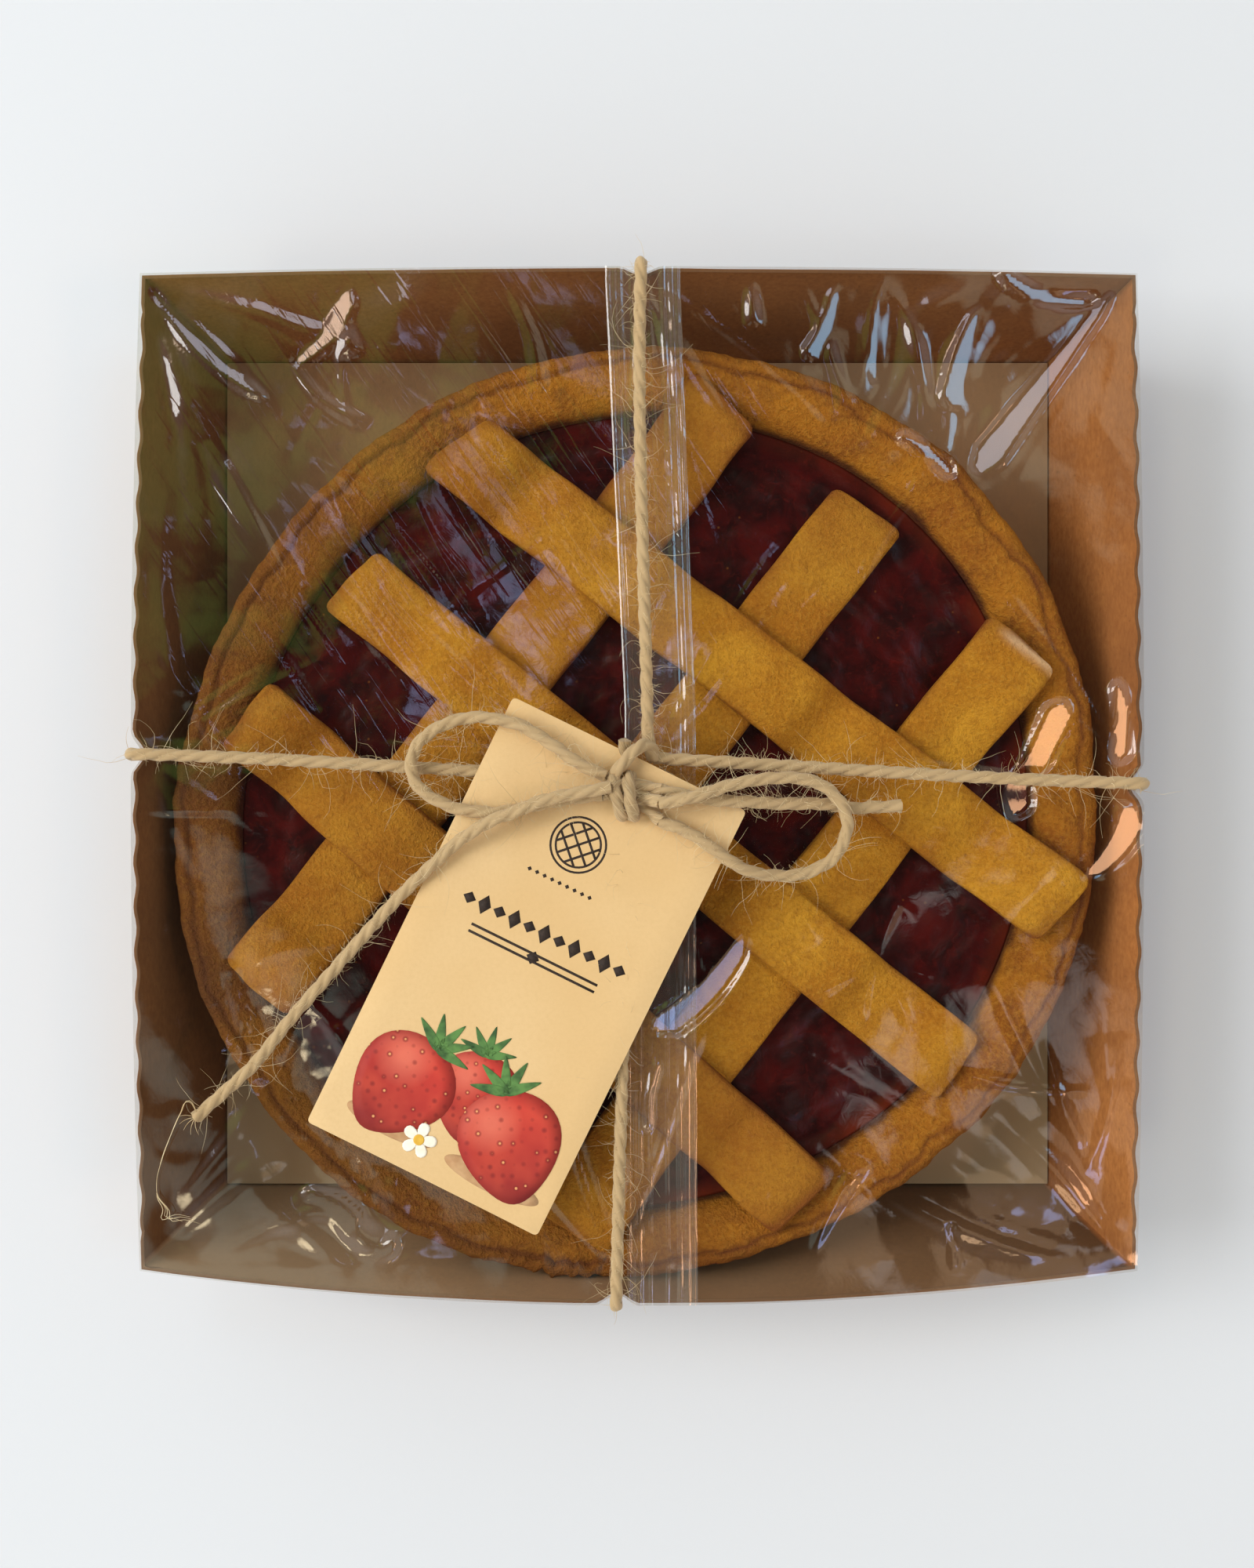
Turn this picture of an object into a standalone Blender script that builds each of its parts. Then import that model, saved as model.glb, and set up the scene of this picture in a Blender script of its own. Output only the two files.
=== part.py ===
"""A jam crostata in its board tray, shut in clear film and tied crosswise with twine.

Metres, +Z up. The origin is under the middle of the pack, on the surface that it stands on.
+X is the right of the pack and +Y its back edge, as it is read by the label.
"""

import math
from statistics import fmean

import bmesh
import bpy
from mathutils import Vector, noise

MM = 0.001
TINY = 0.01 * MM
GAP = 0.3 * MM  # clear space between neighbours

# Tray: a folded board with flared walls on a thicker base
TRAY_HEIGHT = 42 * MM
BOARD = 1.1 * MM
BASE_THICK = 3.8 * MM
FOOT_HALF = 105.8 * MM  # middle to the wall's outer face at the foot
RIM_HALF = 115.0 * MM  # the same at the rim's corners
BOW = {"left": 2.1 * MM, "right": 1.6 * MM, "back": 1.6 * MM, "front": 8.0 * MM}
FULL_BOW_HEIGHT = 29 * MM  # a wall bows out up to here, and stays out above
TRAY_X = 0.3 * MM
TRAY_Y = (BOW["front"] - BOW["back"]) / 2
# The twine pulls each rim in by this much, over this share of half a wall to either side
PINCH = {"left": 2.6 * MM, "right": 2.8 * MM, "back": 1.7 * MM, "front": 2.6 * MM}
PINCH_REACH = 0.045
PINCH_FROM = 36 * MM
WALL_LEVELS = (0.0, BASE_THICK, 17 * MM, 29 * MM, PINCH_FROM, TRAY_HEIGHT)
WALL_STATIONS = (-1, -0.78, -0.54, -0.3, -PINCH_REACH, 0, PINCH_REACH, 0.3, 0.54, 0.78)
WAVE_PITCH = 10.4 * MM
WAVE_HEIGHT = 1.9 * MM
WAVE_STEPS = 5
WAVE_HALF_LENGTH = 107 * MM
WAVE_CLEAR = 0.05 * MM  # the waves' crests stay this far over the rim

# Film: a clear hood over the tray, down to its foot
FILM = 0.4 * MM
FILM_OUTSET = GAP + FILM / 2  # from the tray's wall to the film's middle
FILM_SAG = 2.7 * MM
FILM_HEM = 0.3 * MM

# Pie: an uneven round with a leaning side
PIE_X = -0.2 * MM
PIE_Y = -6.6 * MM
PIE_RADIUS = 110.0 * MM
PIE_HARMONICS = ((2, 2.3 * MM, 49), (3, 0.45 * MM, -23), (4, 0.35 * MM, -37), (5, 0.35 * MM, -33))
PIE_STEPS = 96
JAM_RELIEF = 0.3 * MM
JAM_BUMP = 12 * MM  # width of the jam's bumps
JAM_FADE = 10 * MM  # they fade over this at its edge
CREST_UNEVEN = 0.5 * MM
CREST_BUMP = 14 * MM
CREST_FROM = 27 * MM
CREST_FADE = 6 * MM
# Radius and height in millimetres, from the crust's foot over its crest into the cavity
CRUST_SIDE = (
    (94.9, 4.1), (97.2, 6.0), (101.5, 16.0), (106.6, 27.0), (109.4, 31.5), (110.0, 34.0), (109.0, 35.6)
)
CRUST_TOP = ((106.6, 36.0), (105.6, 35.0), (102.0, 34.5), (97.3, 33.0), (94.8, 28.6))
CRUST_CAVITY = ((93.6, 24.0), (91.6, 14.0))
JAM_SIDE = ((91.1, 14.4), (93.2, 24.0), (94.0, 27.7))
JAM_RINGS = (80, 55, 28)

# Lattice: each strip's heading in degrees, then in millimetres its distance from the pie's middle, its
# two ends and its width
STRIP_THICK = 3.6 * MM
STRIP_EDGE = 0.9 * MM
STRIP_CELLS = 32
UPPER_STRIPS = (
    (-37.6, 43.2, -87.0, 93.4, 19.2),
    (-38.8, 0.8, -88.7, 97.0, 18.4),
    (-41.3, -43.0, -84.7, 89.8, 19.4),
)
LOWER_STRIPS = (
    (-128.6, -44.3, -89.1, 88.0, 19.6),
    (-128.5, -1.6, -91.6, 95.0, 19.6),
    (-127.6, 47.5, -87.3, 87.1, 19.8),
)
SINK_REACH = 3.5 * MM  # how far a strip bridges beside what it lies on

# Label: a card on the twine, turned and tilted
LABEL_SIZE = (59 * MM, 108.5 * MM, 0.5 * MM)
LABEL_MIDDLE = (-25.6 * MM, -41.4 * MM, 46.3 * MM)
LABEL_TURN = -26.15
LABEL_RISE = (0.0347, -0.0228)  # its tilt about its own width and length, in radians
LABEL_CORNER = 1.0 * MM
HOLE_DROP = 6.0 * MM
HOLE_RADIUS = 2.6 * MM
HOLE_SIDES = 16

# Twine: 3 mm jute round the pack, through the label's hole and tied in a bow
TWINE = 3.0 * MM
TWINE_CLEAR = GAP + FILM + 1.5 * GAP + TWINE / 2  # from the tray to the twine's middle
TWINE_FOOT = 1.75 * MM
TWINE_BEND = TWINE_CLEAR - GAP - FILM
GROOVE_WIDTH = 4.4 * MM
GROOVE_DEPTH = 3.4 * MM
LEFT_Y = 7.3 * MM  # where the twine crosses the left and right rims
RIGHT_Y = 0.6 * MM
BACK_X = 0.8 * MM  # and the back and front rims
FRONT_X = -4.7 * MM
LONGEST_STEP = 24 * MM
SHARPEST_TURN = 12  # degrees between two neighbouring stretches of a tube

# The bow's own stretches and the runs' ends at the knot, in millimetres
BOW_LEFT = (
    (-7.3, 2.4, 51.2), (-10.3, 3.6, 51.6), (-14.2, 5.7, 51.8), (-18.2, 8.6, 51.5),
    (-22.3, 11.4, 51.0), (-26.4, 13.7, 50.4), (-30.5, 14.8, 49.8), (-34.7, 15.5, 49.3),
    (-38.8, 15.4, 48.9), (-42.9, 14.3, 48.6), (-47.0, 12.2, 48.3), (-49.9, 9.4, 48.2),
    (-51.3, 6.1, 48.3), (-51.1, 2.4, 48.4), (-49.1, -0.8, 48.5), (-45.4, -3.3, 48.5),
    (-41.0, -5.1, 48.6), (-36.3, -5.8, 48.8), (-32.2, -6.1, 49.0), (-28.1, -5.4, 49.2),
    (-22.4, -4.2, 49.5), (-14.2, -2.7, 49.9), (-8.0, -2.0, 50.2),
)
TAIL_LONG = (
    (-6.0, -0.3, 53.4), (-10.2, -1.0, 53.7), (-14.1, -1.7, 53.6), (-18.1, -2.5, 53.4),
    (-22.2, -3.6, 53.2), (-27.1, -5.7, 52.8), (-32.4, -7.6, 52.2), (-37.0, -10.2, 50.8),
    (-41.6, -13.4, 49.4), (-45.8, -17.2, 48.4), (-53.7, -24.6, 46.6), (-61.6, -33.1, 45.2),
    (-69.3, -41.7, 44.4), (-79.5, -53.3, 44.0), (-88.7, -64.6, 44.2), (-96.4, -71.6, 44.3),
    (-101.4, -76.2, 44.5),
)
BOW_RIGHT = (
    (5.0, -3.9, 53.1), (9.7, -3.1, 54.2), (14.3, -1.8, 54.3), (18.7, -0.4, 53.6),
    (23.3, 0.8, 53.0), (27.7, 1.5, 52.3), (32.4, 1.9, 51.6), (36.8, 1.7, 51.0),
    (41.0, 0.5, 50.5), (44.2, -1.7, 50.0), (46.6, -4.9, 49.6), (47.6, -8.6, 49.0),
    (46.8, -12.7, 48.3), (44.6, -16.3, 47.6), (41.0, -18.8, 47.1), (36.4, -20.3, 46.9),
    (31.9, -20.4, 47.4), (27.2, -19.8, 48.8), (22.6, -18.0, 50.3), (18.0, -14.8, 51.0),
    (13.5, -11.6, 51.0), (9.0, -9.3, 50.7), (5.0, -8.0, 50.2),
)
TAIL_SHORT = (
    (5.2, -0.8, 50.4), (8.0, -1.5, 50.6), (12.1, -2.3, 50.8), (18.9, -3.3, 50.9),
    (25.8, -3.6, 50.3), (32.7, -4.0, 48.8), (39.6, -4.0, 47.4), (44.3, -4.2, 46.5),
    (48.9, -5.1, 45.8), (53.7, -4.8, 45.4), (60.5, -4.6, 45.1),
)
RUN_ENDS = {"left": (-6.6, 1.6), "right": (3.8, 6.4), "back": (2.4, 11.2), "front": (-1.6, -2.6)}
# Knot: lumps below and above the label, and a neck through its hole
KNOT_BELOW = ((-1.4, 4.2, 45.0), (4.6, 6.0, 2.2))
KNOT_ABOVE = ((-1.6, 1.8, 51.3), (4.3, 7.6, 2.6))
KNOT_WRAP = ((1.4, -4.4, 51.3), (2.6, 3.2, 2.4))
KNOT_NECK = ((-4.1, 2.1, 48.0), 1.9, 5.4)


def clear_scene():
    for obj in list(bpy.data.objects):
        bpy.data.objects.remove(obj, do_unlink=True)


def make_collection(name):
    collection = bpy.data.collections.new(name)
    bpy.context.scene.collection.children.link(collection)
    return collection


def make_material(name, colour, roughness, alpha=1.0):
    material = bpy.data.materials.new(name)
    material.use_nodes = True
    shader = material.node_tree.nodes["Principled BSDF"]
    shader.inputs["Base Color"].default_value = (*colour, 1)
    shader.inputs["Roughness"].default_value = roughness
    shader.inputs["Alpha"].default_value = alpha
    return material


def add_object(name, data, material, collection):
    obj = bpy.data.objects.new(name, data)
    data.materials.append(material)
    collection.objects.link(obj)
    return obj


def add_bmesh(name, bm, material, collection):
    mesh = bpy.data.meshes.new(name)
    bm.to_mesh(mesh)
    bm.free()
    mesh.shade_smooth()
    mesh.set_sharp_from_angle(angle=math.radians(35))
    return add_object(name, mesh, material, collection)


def boolean(obj, other, operation):
    modifier = obj.modifiers.new(other.name, "BOOLEAN")
    modifier.object = other
    modifier.operation = operation


def make_helper(obj):
    obj.hide_render = True
    obj.display_type = "WIRE"
    return obj


def flare_at(z):
    return FOOT_HALF + (RIM_HALF - FOOT_HALF) * z / TRAY_HEIGHT


def twine_place(side):
    """Where the twine crosses a wall, from -1 to 1 along it."""
    along = {
        "front": FRONT_X - TRAY_X,
        "right": RIGHT_Y - TRAY_Y,
        "back": TRAY_X - BACK_X,
        "left": TRAY_Y - LEFT_Y,
    }
    return along[side] / RIM_HALF


def wall_out(side, station, z):
    """Distance from the tray's middle lines to a wall's outer face, at a station from -1 to 1 along it."""
    swell = math.sin(math.pi / 2 * min(1.0, z / FULL_BOW_HEIGHT))
    bow = BOW[side] * swell * (1 - station * station)
    pull = 0
    if station == 0:
        pull = PINCH[side] * max(0.0, z - PINCH_FROM) / (TRAY_HEIGHT - PINCH_FROM)
    return flare_at(z) + bow - pull


def wall_point(side, station, z, outset):
    """A point on a wall, moved outwards from its outer face. The three middle stations are at the twine."""
    out = wall_out(side, station, z) + outset
    place = station + twine_place(side) if abs(station) <= PINCH_REACH else station
    along = place * (flare_at(z) + outset)
    x, y = {
        "front": (along, -out),
        "right": (out, along),
        "back": (-along, out),
        "left": (-out, -along),
    }[side]
    return Vector((TRAY_X + x, TRAY_Y + y, z))


def wall_ring(bm, z, outset):
    """One closed loop of edges around the tray."""
    verts = []
    for side in ("front", "right", "back", "left"):
        verts += [bm.verts.new(wall_point(side, station, z, outset)) for station in WALL_STATIONS]
    return [bm.edges.new(pair) for pair in zip(verts, verts[1:] + verts[:1])]


def rim_wave_cutter(material, helpers):
    """A bar across the tray with a waved lower side, which cuts both side walls' rims."""
    steps = round(2 * WAVE_HALF_LENGTH / WAVE_PITCH * WAVE_STEPS)
    outline = []
    for i in range(steps + 1):
        y = WAVE_HALF_LENGTH * (2 * i / steps - 1)
        dip = WAVE_HEIGHT * (0.5 - 0.5 * math.cos(math.tau * y / WAVE_PITCH))
        outline.append(Vector((-1.2 * RIM_HALF, TRAY_Y + y, TRAY_HEIGHT + WAVE_CLEAR - dip)))
    outline += [Vector((p.x, p.y, 1.1 * TRAY_HEIGHT)) for p in (outline[-1], outline[0])]
    bm = bmesh.new()
    face = bm.faces.new([bm.verts.new(p) for p in outline])
    moved = bmesh.ops.extrude_face_region(bm, geom=[face])["geom"]
    verts = [v for v in moved if isinstance(v, bmesh.types.BMVert)]
    bmesh.ops.translate(bm, verts=verts, vec=(2.4 * RIM_HALF, 0, 0))
    bmesh.ops.recalc_face_normals(bm, faces=bm.faces)
    return make_helper(add_bmesh("cut_rim_waves", bm, material, helpers))


def groove_cutter(name, start, end, material, helpers):
    """A square bar under the tray, for one run of twine."""
    start, end = Vector(start), Vector(end)
    bm = bmesh.new()
    bmesh.ops.create_cube(bm, size=1)
    bmesh.ops.scale(bm, vec=(1.2 * (end - start).length, GROOVE_WIDTH, 2 * GROOVE_DEPTH), verts=bm.verts)
    cutter = make_helper(add_bmesh(name, bm, material, helpers))
    cutter.location = (*(start + end) / 2, 0)
    cutter.rotation_euler = (0, 0, math.atan2(end.y - start.y, end.x - start.x))
    return cutter


def make_tray(material, parts, cutters):
    bm = bmesh.new()
    rings = [wall_ring(bm, z, 0) for z in WALL_LEVELS]
    rings += [wall_ring(bm, z, -BOARD) for z in WALL_LEVELS[:0:-1]]
    for low, high in zip(rings, rings[1:]):
        bmesh.ops.bridge_loops(bm, edges=low + high)
    bmesh.ops.triangulate(bm, faces=bm.faces, quad_method="SHORT_EDGE")
    bmesh.ops.contextual_create(bm, geom=rings[0])
    bmesh.ops.contextual_create(bm, geom=rings[-1])
    bmesh.ops.recalc_face_normals(bm, faces=bm.faces)
    tray = add_bmesh("tray", bm, material, parts)
    for cutter in cutters:
        boolean(tray, cutter, "DIFFERENCE")


def film_station(value, cells):
    """The tray's station for a grid coordinate from -1 to 1."""
    stations = (*WALL_STATIONS, 1)
    return stations[round((value + 1) / 2 * cells)]


def film_top_point(u, v, z):
    """A point of the film over the rims, for stations u and v. Its edge is the walls' own ring."""
    if abs(u) == 1:
        return wall_point("right" if u > 0 else "left", v * u, z, FILM_OUTSET)
    if abs(v) == 1:
        return wall_point("back" if v > 0 else "front", -u * v, z, FILM_OUTSET)
    half = flare_at(z) + FILM_OUTSET
    sag = FILM_SAG * (1 - u * u) * (1 - v * v)
    return Vector((TRAY_X + u * half, TRAY_Y + v * half, z - sag))


def make_film(material, parts, grooves):
    """An open sheet over the rims joined to its skirt, then given its thickness."""
    cells = len(WALL_STATIONS)
    top = TRAY_HEIGHT + FILM_OUTSET
    bm = bmesh.new()
    bmesh.ops.create_grid(bm, x_segments=cells, y_segments=cells, size=1)
    for vert in bm.verts:
        vert.co = film_top_point(film_station(vert.co.x, cells), film_station(vert.co.y, cells), top)
    levels = (top, *reversed(WALL_LEVELS[1:-1]), FILM_HEM)
    rings = [wall_ring(bm, z, FILM_OUTSET) for z in levels]
    for high, low in zip(rings, rings[1:]):
        bmesh.ops.bridge_loops(bm, edges=high + low)
    bmesh.ops.triangulate(bm, faces=bm.faces, quad_method="SHORT_EDGE")
    bmesh.ops.remove_doubles(bm, verts=bm.verts, dist=TINY)
    bmesh.ops.recalc_face_normals(bm, faces=bm.faces)
    film = add_bmesh("film", bm, material, parts)
    shell = film.modifiers.new("thickness", "SOLIDIFY")
    shell.thickness = FILM
    shell.offset = 0
    shell.use_even_offset = True
    for groove in grooves:
        boolean(film, groove, "DIFFERENCE")


def pie_scale(angle):
    """How far the pie's outline departs from a round one."""
    swell = 0
    for count, size, at in PIE_HARMONICS:
        swell += size * math.cos(count * (angle - math.radians(at)))
    return 1 + swell / PIE_RADIUS


def crest_shift(angle, z):
    """Unevenness of the crust's height, growing from the side up to the crest."""
    around = Vector((math.cos(angle), math.sin(angle), 0)) * PIE_RADIUS / CREST_BUMP
    share = max(0.0, min(1.0, (z - CREST_FROM) / CREST_FADE))
    return CREST_UNEVEN * share * noise.noise(around)


def turned_solid(name, profile, lift, material, parts):
    """A profile in millimetres, spun round, pushed out to the pie's outline and lifted by a rule."""
    bm = bmesh.new()
    verts = [bm.verts.new((r * MM, 0, z * MM)) for r, z in profile]
    edges = [bm.edges.new(pair) for pair in zip(verts, verts[1:])]
    bmesh.ops.spin(
        bm,
        geom=verts + edges,
        cent=(0, 0, 0),
        axis=(0, 0, 1),
        angle=math.tau,
        steps=PIE_STEPS,
        use_merge=True,
    )
    bmesh.ops.remove_doubles(bm, verts=bm.verts, dist=TINY)
    for vert in bm.verts:
        angle = math.atan2(vert.co.y, vert.co.x)
        radius = math.hypot(vert.co.x, vert.co.y) * pie_scale(angle)
        height = vert.co.z + lift(angle, radius, vert.co.z)
        vert.co = (PIE_X + radius * math.cos(angle), PIE_Y + radius * math.sin(angle), height)
    bmesh.ops.recalc_face_normals(bm, faces=bm.faces)
    add_bmesh(name, bm, material, parts)


def crust_lift(angle, radius, z):
    return crest_shift(angle, z)


def jam_lift(angle, radius, z):
    """Slow bumps on the jam's top, fading at its edge."""
    edge, level = JAM_SIDE[-1]
    if z < level * MM - TINY:
        return 0
    place = Vector((math.cos(angle), math.sin(angle), 0)) * radius / JAM_BUMP
    return JAM_RELIEF * noise.noise(place) * min(1.0, (edge * MM - radius) / JAM_FADE)


def make_pie(crust_material, jam_material, parts):
    foot, floor = CRUST_SIDE[0][1], CRUST_CAVITY[-1][1]
    profile = ((0, foot), *CRUST_SIDE, *CRUST_TOP, *CRUST_CAVITY, (0, floor))
    turned_solid("crust", profile, crust_lift, crust_material, parts)
    bottom, level = JAM_SIDE[0][1], JAM_SIDE[-1][1]
    rings = [(radius, level) for radius in JAM_RINGS]
    turned_solid("jam", ((0, bottom), *JAM_SIDE, *rings, (0, level)), jam_lift, jam_material, parts)


def pie_top(x, y):
    """Height of the jam or of the crust's rim at a place."""
    dx, dy = x - PIE_X, y - PIE_Y
    angle = math.atan2(dy, dx)
    radius = math.hypot(dx, dy) / pie_scale(angle) * 1000
    edge, level = JAM_SIDE[-1]
    level += JAM_RELIEF * 1000
    line = sorted([(0, level), (edge, level), *CRUST_TOP, *CRUST_SIDE[-2:]])
    for (r0, z0), (r1, z1) in zip(line, line[1:]):
        if radius <= r1:
            height = (z0 + (z1 - z0) * (radius - r0) / (r1 - r0)) * MM
            return height + abs(crest_shift(angle, height))
    return 0


def strip_place(strip, along, across):
    """World x and y of a place on a strip."""
    heading, offset = math.radians(strip[0]), strip[1] * MM
    x = PIE_X + along * math.cos(heading) - (offset + across) * math.sin(heading)
    y = PIE_Y + along * math.sin(heading) + (offset + across) * math.cos(heading)
    return x, y


def around(values, i, reach):
    """The values within reach of a place in a list."""
    return values[max(0, i - reach):i + reach + 1]


def strip_rest(strip, under):
    """Heights every millimetre along a strip's underside, as it bridges and sinks over what is below."""
    start, end, half = round(strip[2]), round(strip[3]), strip[4] * MM / 2
    reach = round(SINK_REACH * 1000)
    raw = []
    for i in range(start - 2 * reach, end + 2 * reach + 1):
        places = [strip_place(strip, i * MM, across) for across in (-half, -half / 2, 0, half / 2, half)]
        inside = start - 1 <= i <= end + 1
        raw.append(max(under(x, y) for x, y in places) if inside else None)
    first = next(h for h in raw if h is not None)
    last = next(h for h in reversed(raw) if h is not None)
    middle = len(raw) // 2
    raw = [h if h is not None else (first if i < middle else last) for i, h in enumerate(raw)]
    held = [max(around(raw, i, reach)) for i in range(len(raw))]
    smooth = [fmean(around(held, i, reach - 1)) for i in range(len(held))]
    return start - 2 * reach, smooth


def rest_height(rest, along):
    first, heights = rest
    place = along * 1000 - first
    i = max(0, min(len(heights) - 2, int(place)))
    return heights[i] + (heights[i + 1] - heights[i]) * (place - i) + GAP


def over_lower_strips(rests):
    """The height under an upper strip: the pie's top, or the top of a lower strip."""

    def under(x, y):
        height = pie_top(x, y)
        for strip, rest in rests:
            heading = math.radians(strip[0])
            dx, dy = x - PIE_X, y - PIE_Y
            along = dx * math.cos(heading) + dy * math.sin(heading)
            across = -dx * math.sin(heading) + dy * math.cos(heading) - strip[1] * MM
            if abs(across) < strip[4] * MM / 2 + MM and strip[2] - 1 < along * 1000 < strip[3] + 1:
                height = max(height, rest_height(rest, along) + STRIP_THICK)
        return height

    return under


def make_strip(name, strip, rest, material, parts):
    """A flat band laid along its rest, given its thickness upwards and a soft edge."""
    bm = bmesh.new()
    bmesh.ops.create_grid(bm, x_segments=STRIP_CELLS, y_segments=1, size=1)
    middle, half_length = (strip[2] + strip[3]) / 2 * MM, (strip[3] - strip[2]) / 2 * MM
    for vert in bm.verts:
        along, across = middle + vert.co.x * half_length, vert.co.y * strip[4] * MM / 2
        height = max(rest_height(rest, along + step * half_length / STRIP_CELLS) for step in (-1, 0, 1))
        vert.co = (*strip_place(strip, along, across), height)
    obj = add_bmesh(name, bm, material, parts)
    shell = obj.modifiers.new("thickness", "SOLIDIFY")
    shell.thickness = STRIP_THICK
    shell.offset = 1
    edge = obj.modifiers.new("edge", "BEVEL")
    edge.width = STRIP_EDGE
    edge.segments = 1
    edge.limit_method = "ANGLE"
    edge.angle_limit = math.radians(60)


def make_lattice(material, parts):
    rests = [(strip, strip_rest(strip, pie_top)) for strip in LOWER_STRIPS]
    for i, (strip, rest) in enumerate(rests, 1):
        make_strip(f"strip_lower_{i}", strip, rest, material, parts)
    for i, strip in enumerate(UPPER_STRIPS, 1):
        make_strip(f"strip_upper_{i}", strip, strip_rest(strip, over_lower_strips(rests)), material, parts)


def make_label(material, parts):
    width, length, thick = LABEL_SIZE
    curve = bpy.data.curves.new("label", "CURVE")
    curve.dimensions = "2D"
    curve.fill_mode = "BOTH"
    curve.extrude = thick / 2
    outline = []
    for x, y, first in ((1, 1, 0), (-1, 1, 90), (-1, -1, 180), (1, -1, 270)):
        for turn in (0, 45, 90):
            a = math.radians(first + turn)
            corner = (x * (width / 2 - LABEL_CORNER), y * (length / 2 - LABEL_CORNER))
            outline.append((corner[0] + LABEL_CORNER * math.cos(a), corner[1] + LABEL_CORNER * math.sin(a)))
    hole = []
    for i in range(HOLE_SIDES):
        a = math.tau * i / HOLE_SIDES
        hole.append((HOLE_RADIUS * math.cos(a), length / 2 - HOLE_DROP + HOLE_RADIUS * math.sin(a)))
    for points in (outline, hole):
        spline = curve.splines.new("POLY")
        spline.points.add(len(points) - 1)
        for point, (x, y) in zip(spline.points, points):
            point.co = (x, y, 0, 1)
        spline.use_cyclic_u = True
    label = add_object("label", curve, material, parts)
    label.location = LABEL_MIDDLE
    label.rotation_euler = (*LABEL_RISE, math.radians(LABEL_TURN))


def smooth_route(points):
    """A smooth curve through points, thinned to where it turns or has run far enough."""
    points = [Vector(p) for p in points]
    runs = [b - a for a, b in zip(points, points[1:])]
    tangents = [runs[0].normalized()]
    for a, b in zip(runs, runs[1:]):
        tangents.append((a.normalized() * b.length + b.normalized() * a.length).normalized())
    tangents.append(runs[-1].normalized())
    fine = [points[0]]
    for i, run in enumerate(runs):
        size = run.length
        count = max(2, round(size / MM))
        for k in range(1, count + 1):
            t = k / count
            a, b = (1 + 2 * t) * (1 - t) ** 2, t * t * (3 - 2 * t)
            c, d = t * (1 - t) ** 2, t * t * (t - 1)
            fine.append(points[i] * a + points[i + 1] * b + (tangents[i] * c + tangents[i + 1] * d) * size)
    kept = [fine[0]]
    heading = fine[1] - fine[0]
    for here, ahead in zip(fine[1:], fine[2:]):
        turned = math.degrees(heading.angle(ahead - here))
        if turned > SHARPEST_TURN or (here - kept[-1]).length > LONGEST_STEP:
            kept.append(here)
            heading = ahead - here
    return [*kept, fine[-1]]


def make_twine(name, points, material, parts):
    curve = bpy.data.curves.new(name, "CURVE")
    curve.dimensions = "3D"
    curve.bevel_depth = TWINE / 2
    curve.bevel_resolution = 2
    curve.use_fill_caps = True
    route = smooth_route(points)
    spline = curve.splines.new("POLY")
    spline.points.add(len(route) - 1)
    for point, place in zip(spline.points, route):
        point.co = (*place, 1)
    add_object(name, curve, material, parts)


def wall_descent(side):
    """The twine's way over a rim, down the wall and under its foot, as distances out and heights."""
    rim = wall_out(side, 0, TRAY_HEIGHT) + GAP + FILM
    foot_z = TWINE_FOOT + TWINE_BEND
    foot = wall_out(side, 0, foot_z) + 1.5 * GAP + FILM
    top = TRAY_HEIGHT + GAP + FILM
    way = [(rim - 2 * TWINE, top + TWINE_BEND)]
    for turn in (90, 60, 30, 0):
        a = math.radians(turn)
        way.append((rim + TWINE_BEND * math.cos(a), top + TWINE_BEND * math.sin(a)))
    way += [(wall_out(side, 0, z) + TWINE_CLEAR + GAP, z) for z in reversed(WALL_LEVELS[2:-1])]
    for turn in (0, -30, -60, -90):
        a = math.radians(turn)
        way.append((foot + TWINE_BEND * math.cos(a), foot_z + TWINE_BEND * math.sin(a)))
    way.append((foot - 2 * TWINE, TWINE_FOOT))
    return way


def side_points(side):
    """The descent in world places, on the straight line between two opposite crossings."""
    points = []
    for out, z in wall_descent(side):
        share = (1 + out / RIM_HALF) / 2
        if side in ("left", "right"):
            near, far = (LEFT_Y, RIGHT_Y) if side == "left" else (RIGHT_Y, LEFT_Y)
            points.append((TRAY_X + (out if side == "right" else -out), far + (near - far) * share, z))
        else:
            near, far = (BACK_X, FRONT_X) if side == "back" else (FRONT_X, BACK_X)
            points.append((far + (near - far) * share, TRAY_Y + (out if side == "back" else -out), z))
    return points


def make_all_twine(material, parts):
    top = TRAY_HEIGHT + TWINE_CLEAR
    left, right, back, front = (side_points(side) for side in ("left", "right", "back", "front"))
    ends = {side: (x * MM, y * MM, top) for side, (x, y) in RUN_ENDS.items()}
    # Under the tray the lengthways run stops at each side of the crosswise one
    cross_x, cross_y = (BACK_X + FRONT_X) / 2, (LEFT_Y + RIGHT_Y) / 2
    apart = TWINE + GAP
    make_twine("twine_across", [ends["left"], *left, *reversed(right), ends["right"]], material, parts)
    make_twine("twine_back", [ends["back"], *back, (cross_x, cross_y + apart, TWINE_FOOT)], material, parts)
    under = (cross_x, cross_y - apart, TWINE_FOOT)
    make_twine("twine_front", [ends["front"], *front, under], material, parts)
    loose = {"bow_left": BOW_LEFT, "tail_long": TAIL_LONG, "bow_right": BOW_RIGHT, "tail_short": TAIL_SHORT}
    for name, points in loose.items():
        make_twine(name, [Vector(p) * MM for p in points], material, parts)


def lump(name, middle, radii, material, collection):
    bm = bmesh.new()
    bmesh.ops.create_uvsphere(bm, u_segments=14, v_segments=8, radius=1)
    bmesh.ops.scale(bm, vec=Vector(radii) * MM, verts=bm.verts)
    bmesh.ops.translate(bm, vec=Vector(middle) * MM, verts=bm.verts)
    return add_bmesh(name, bm, material, collection)


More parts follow.
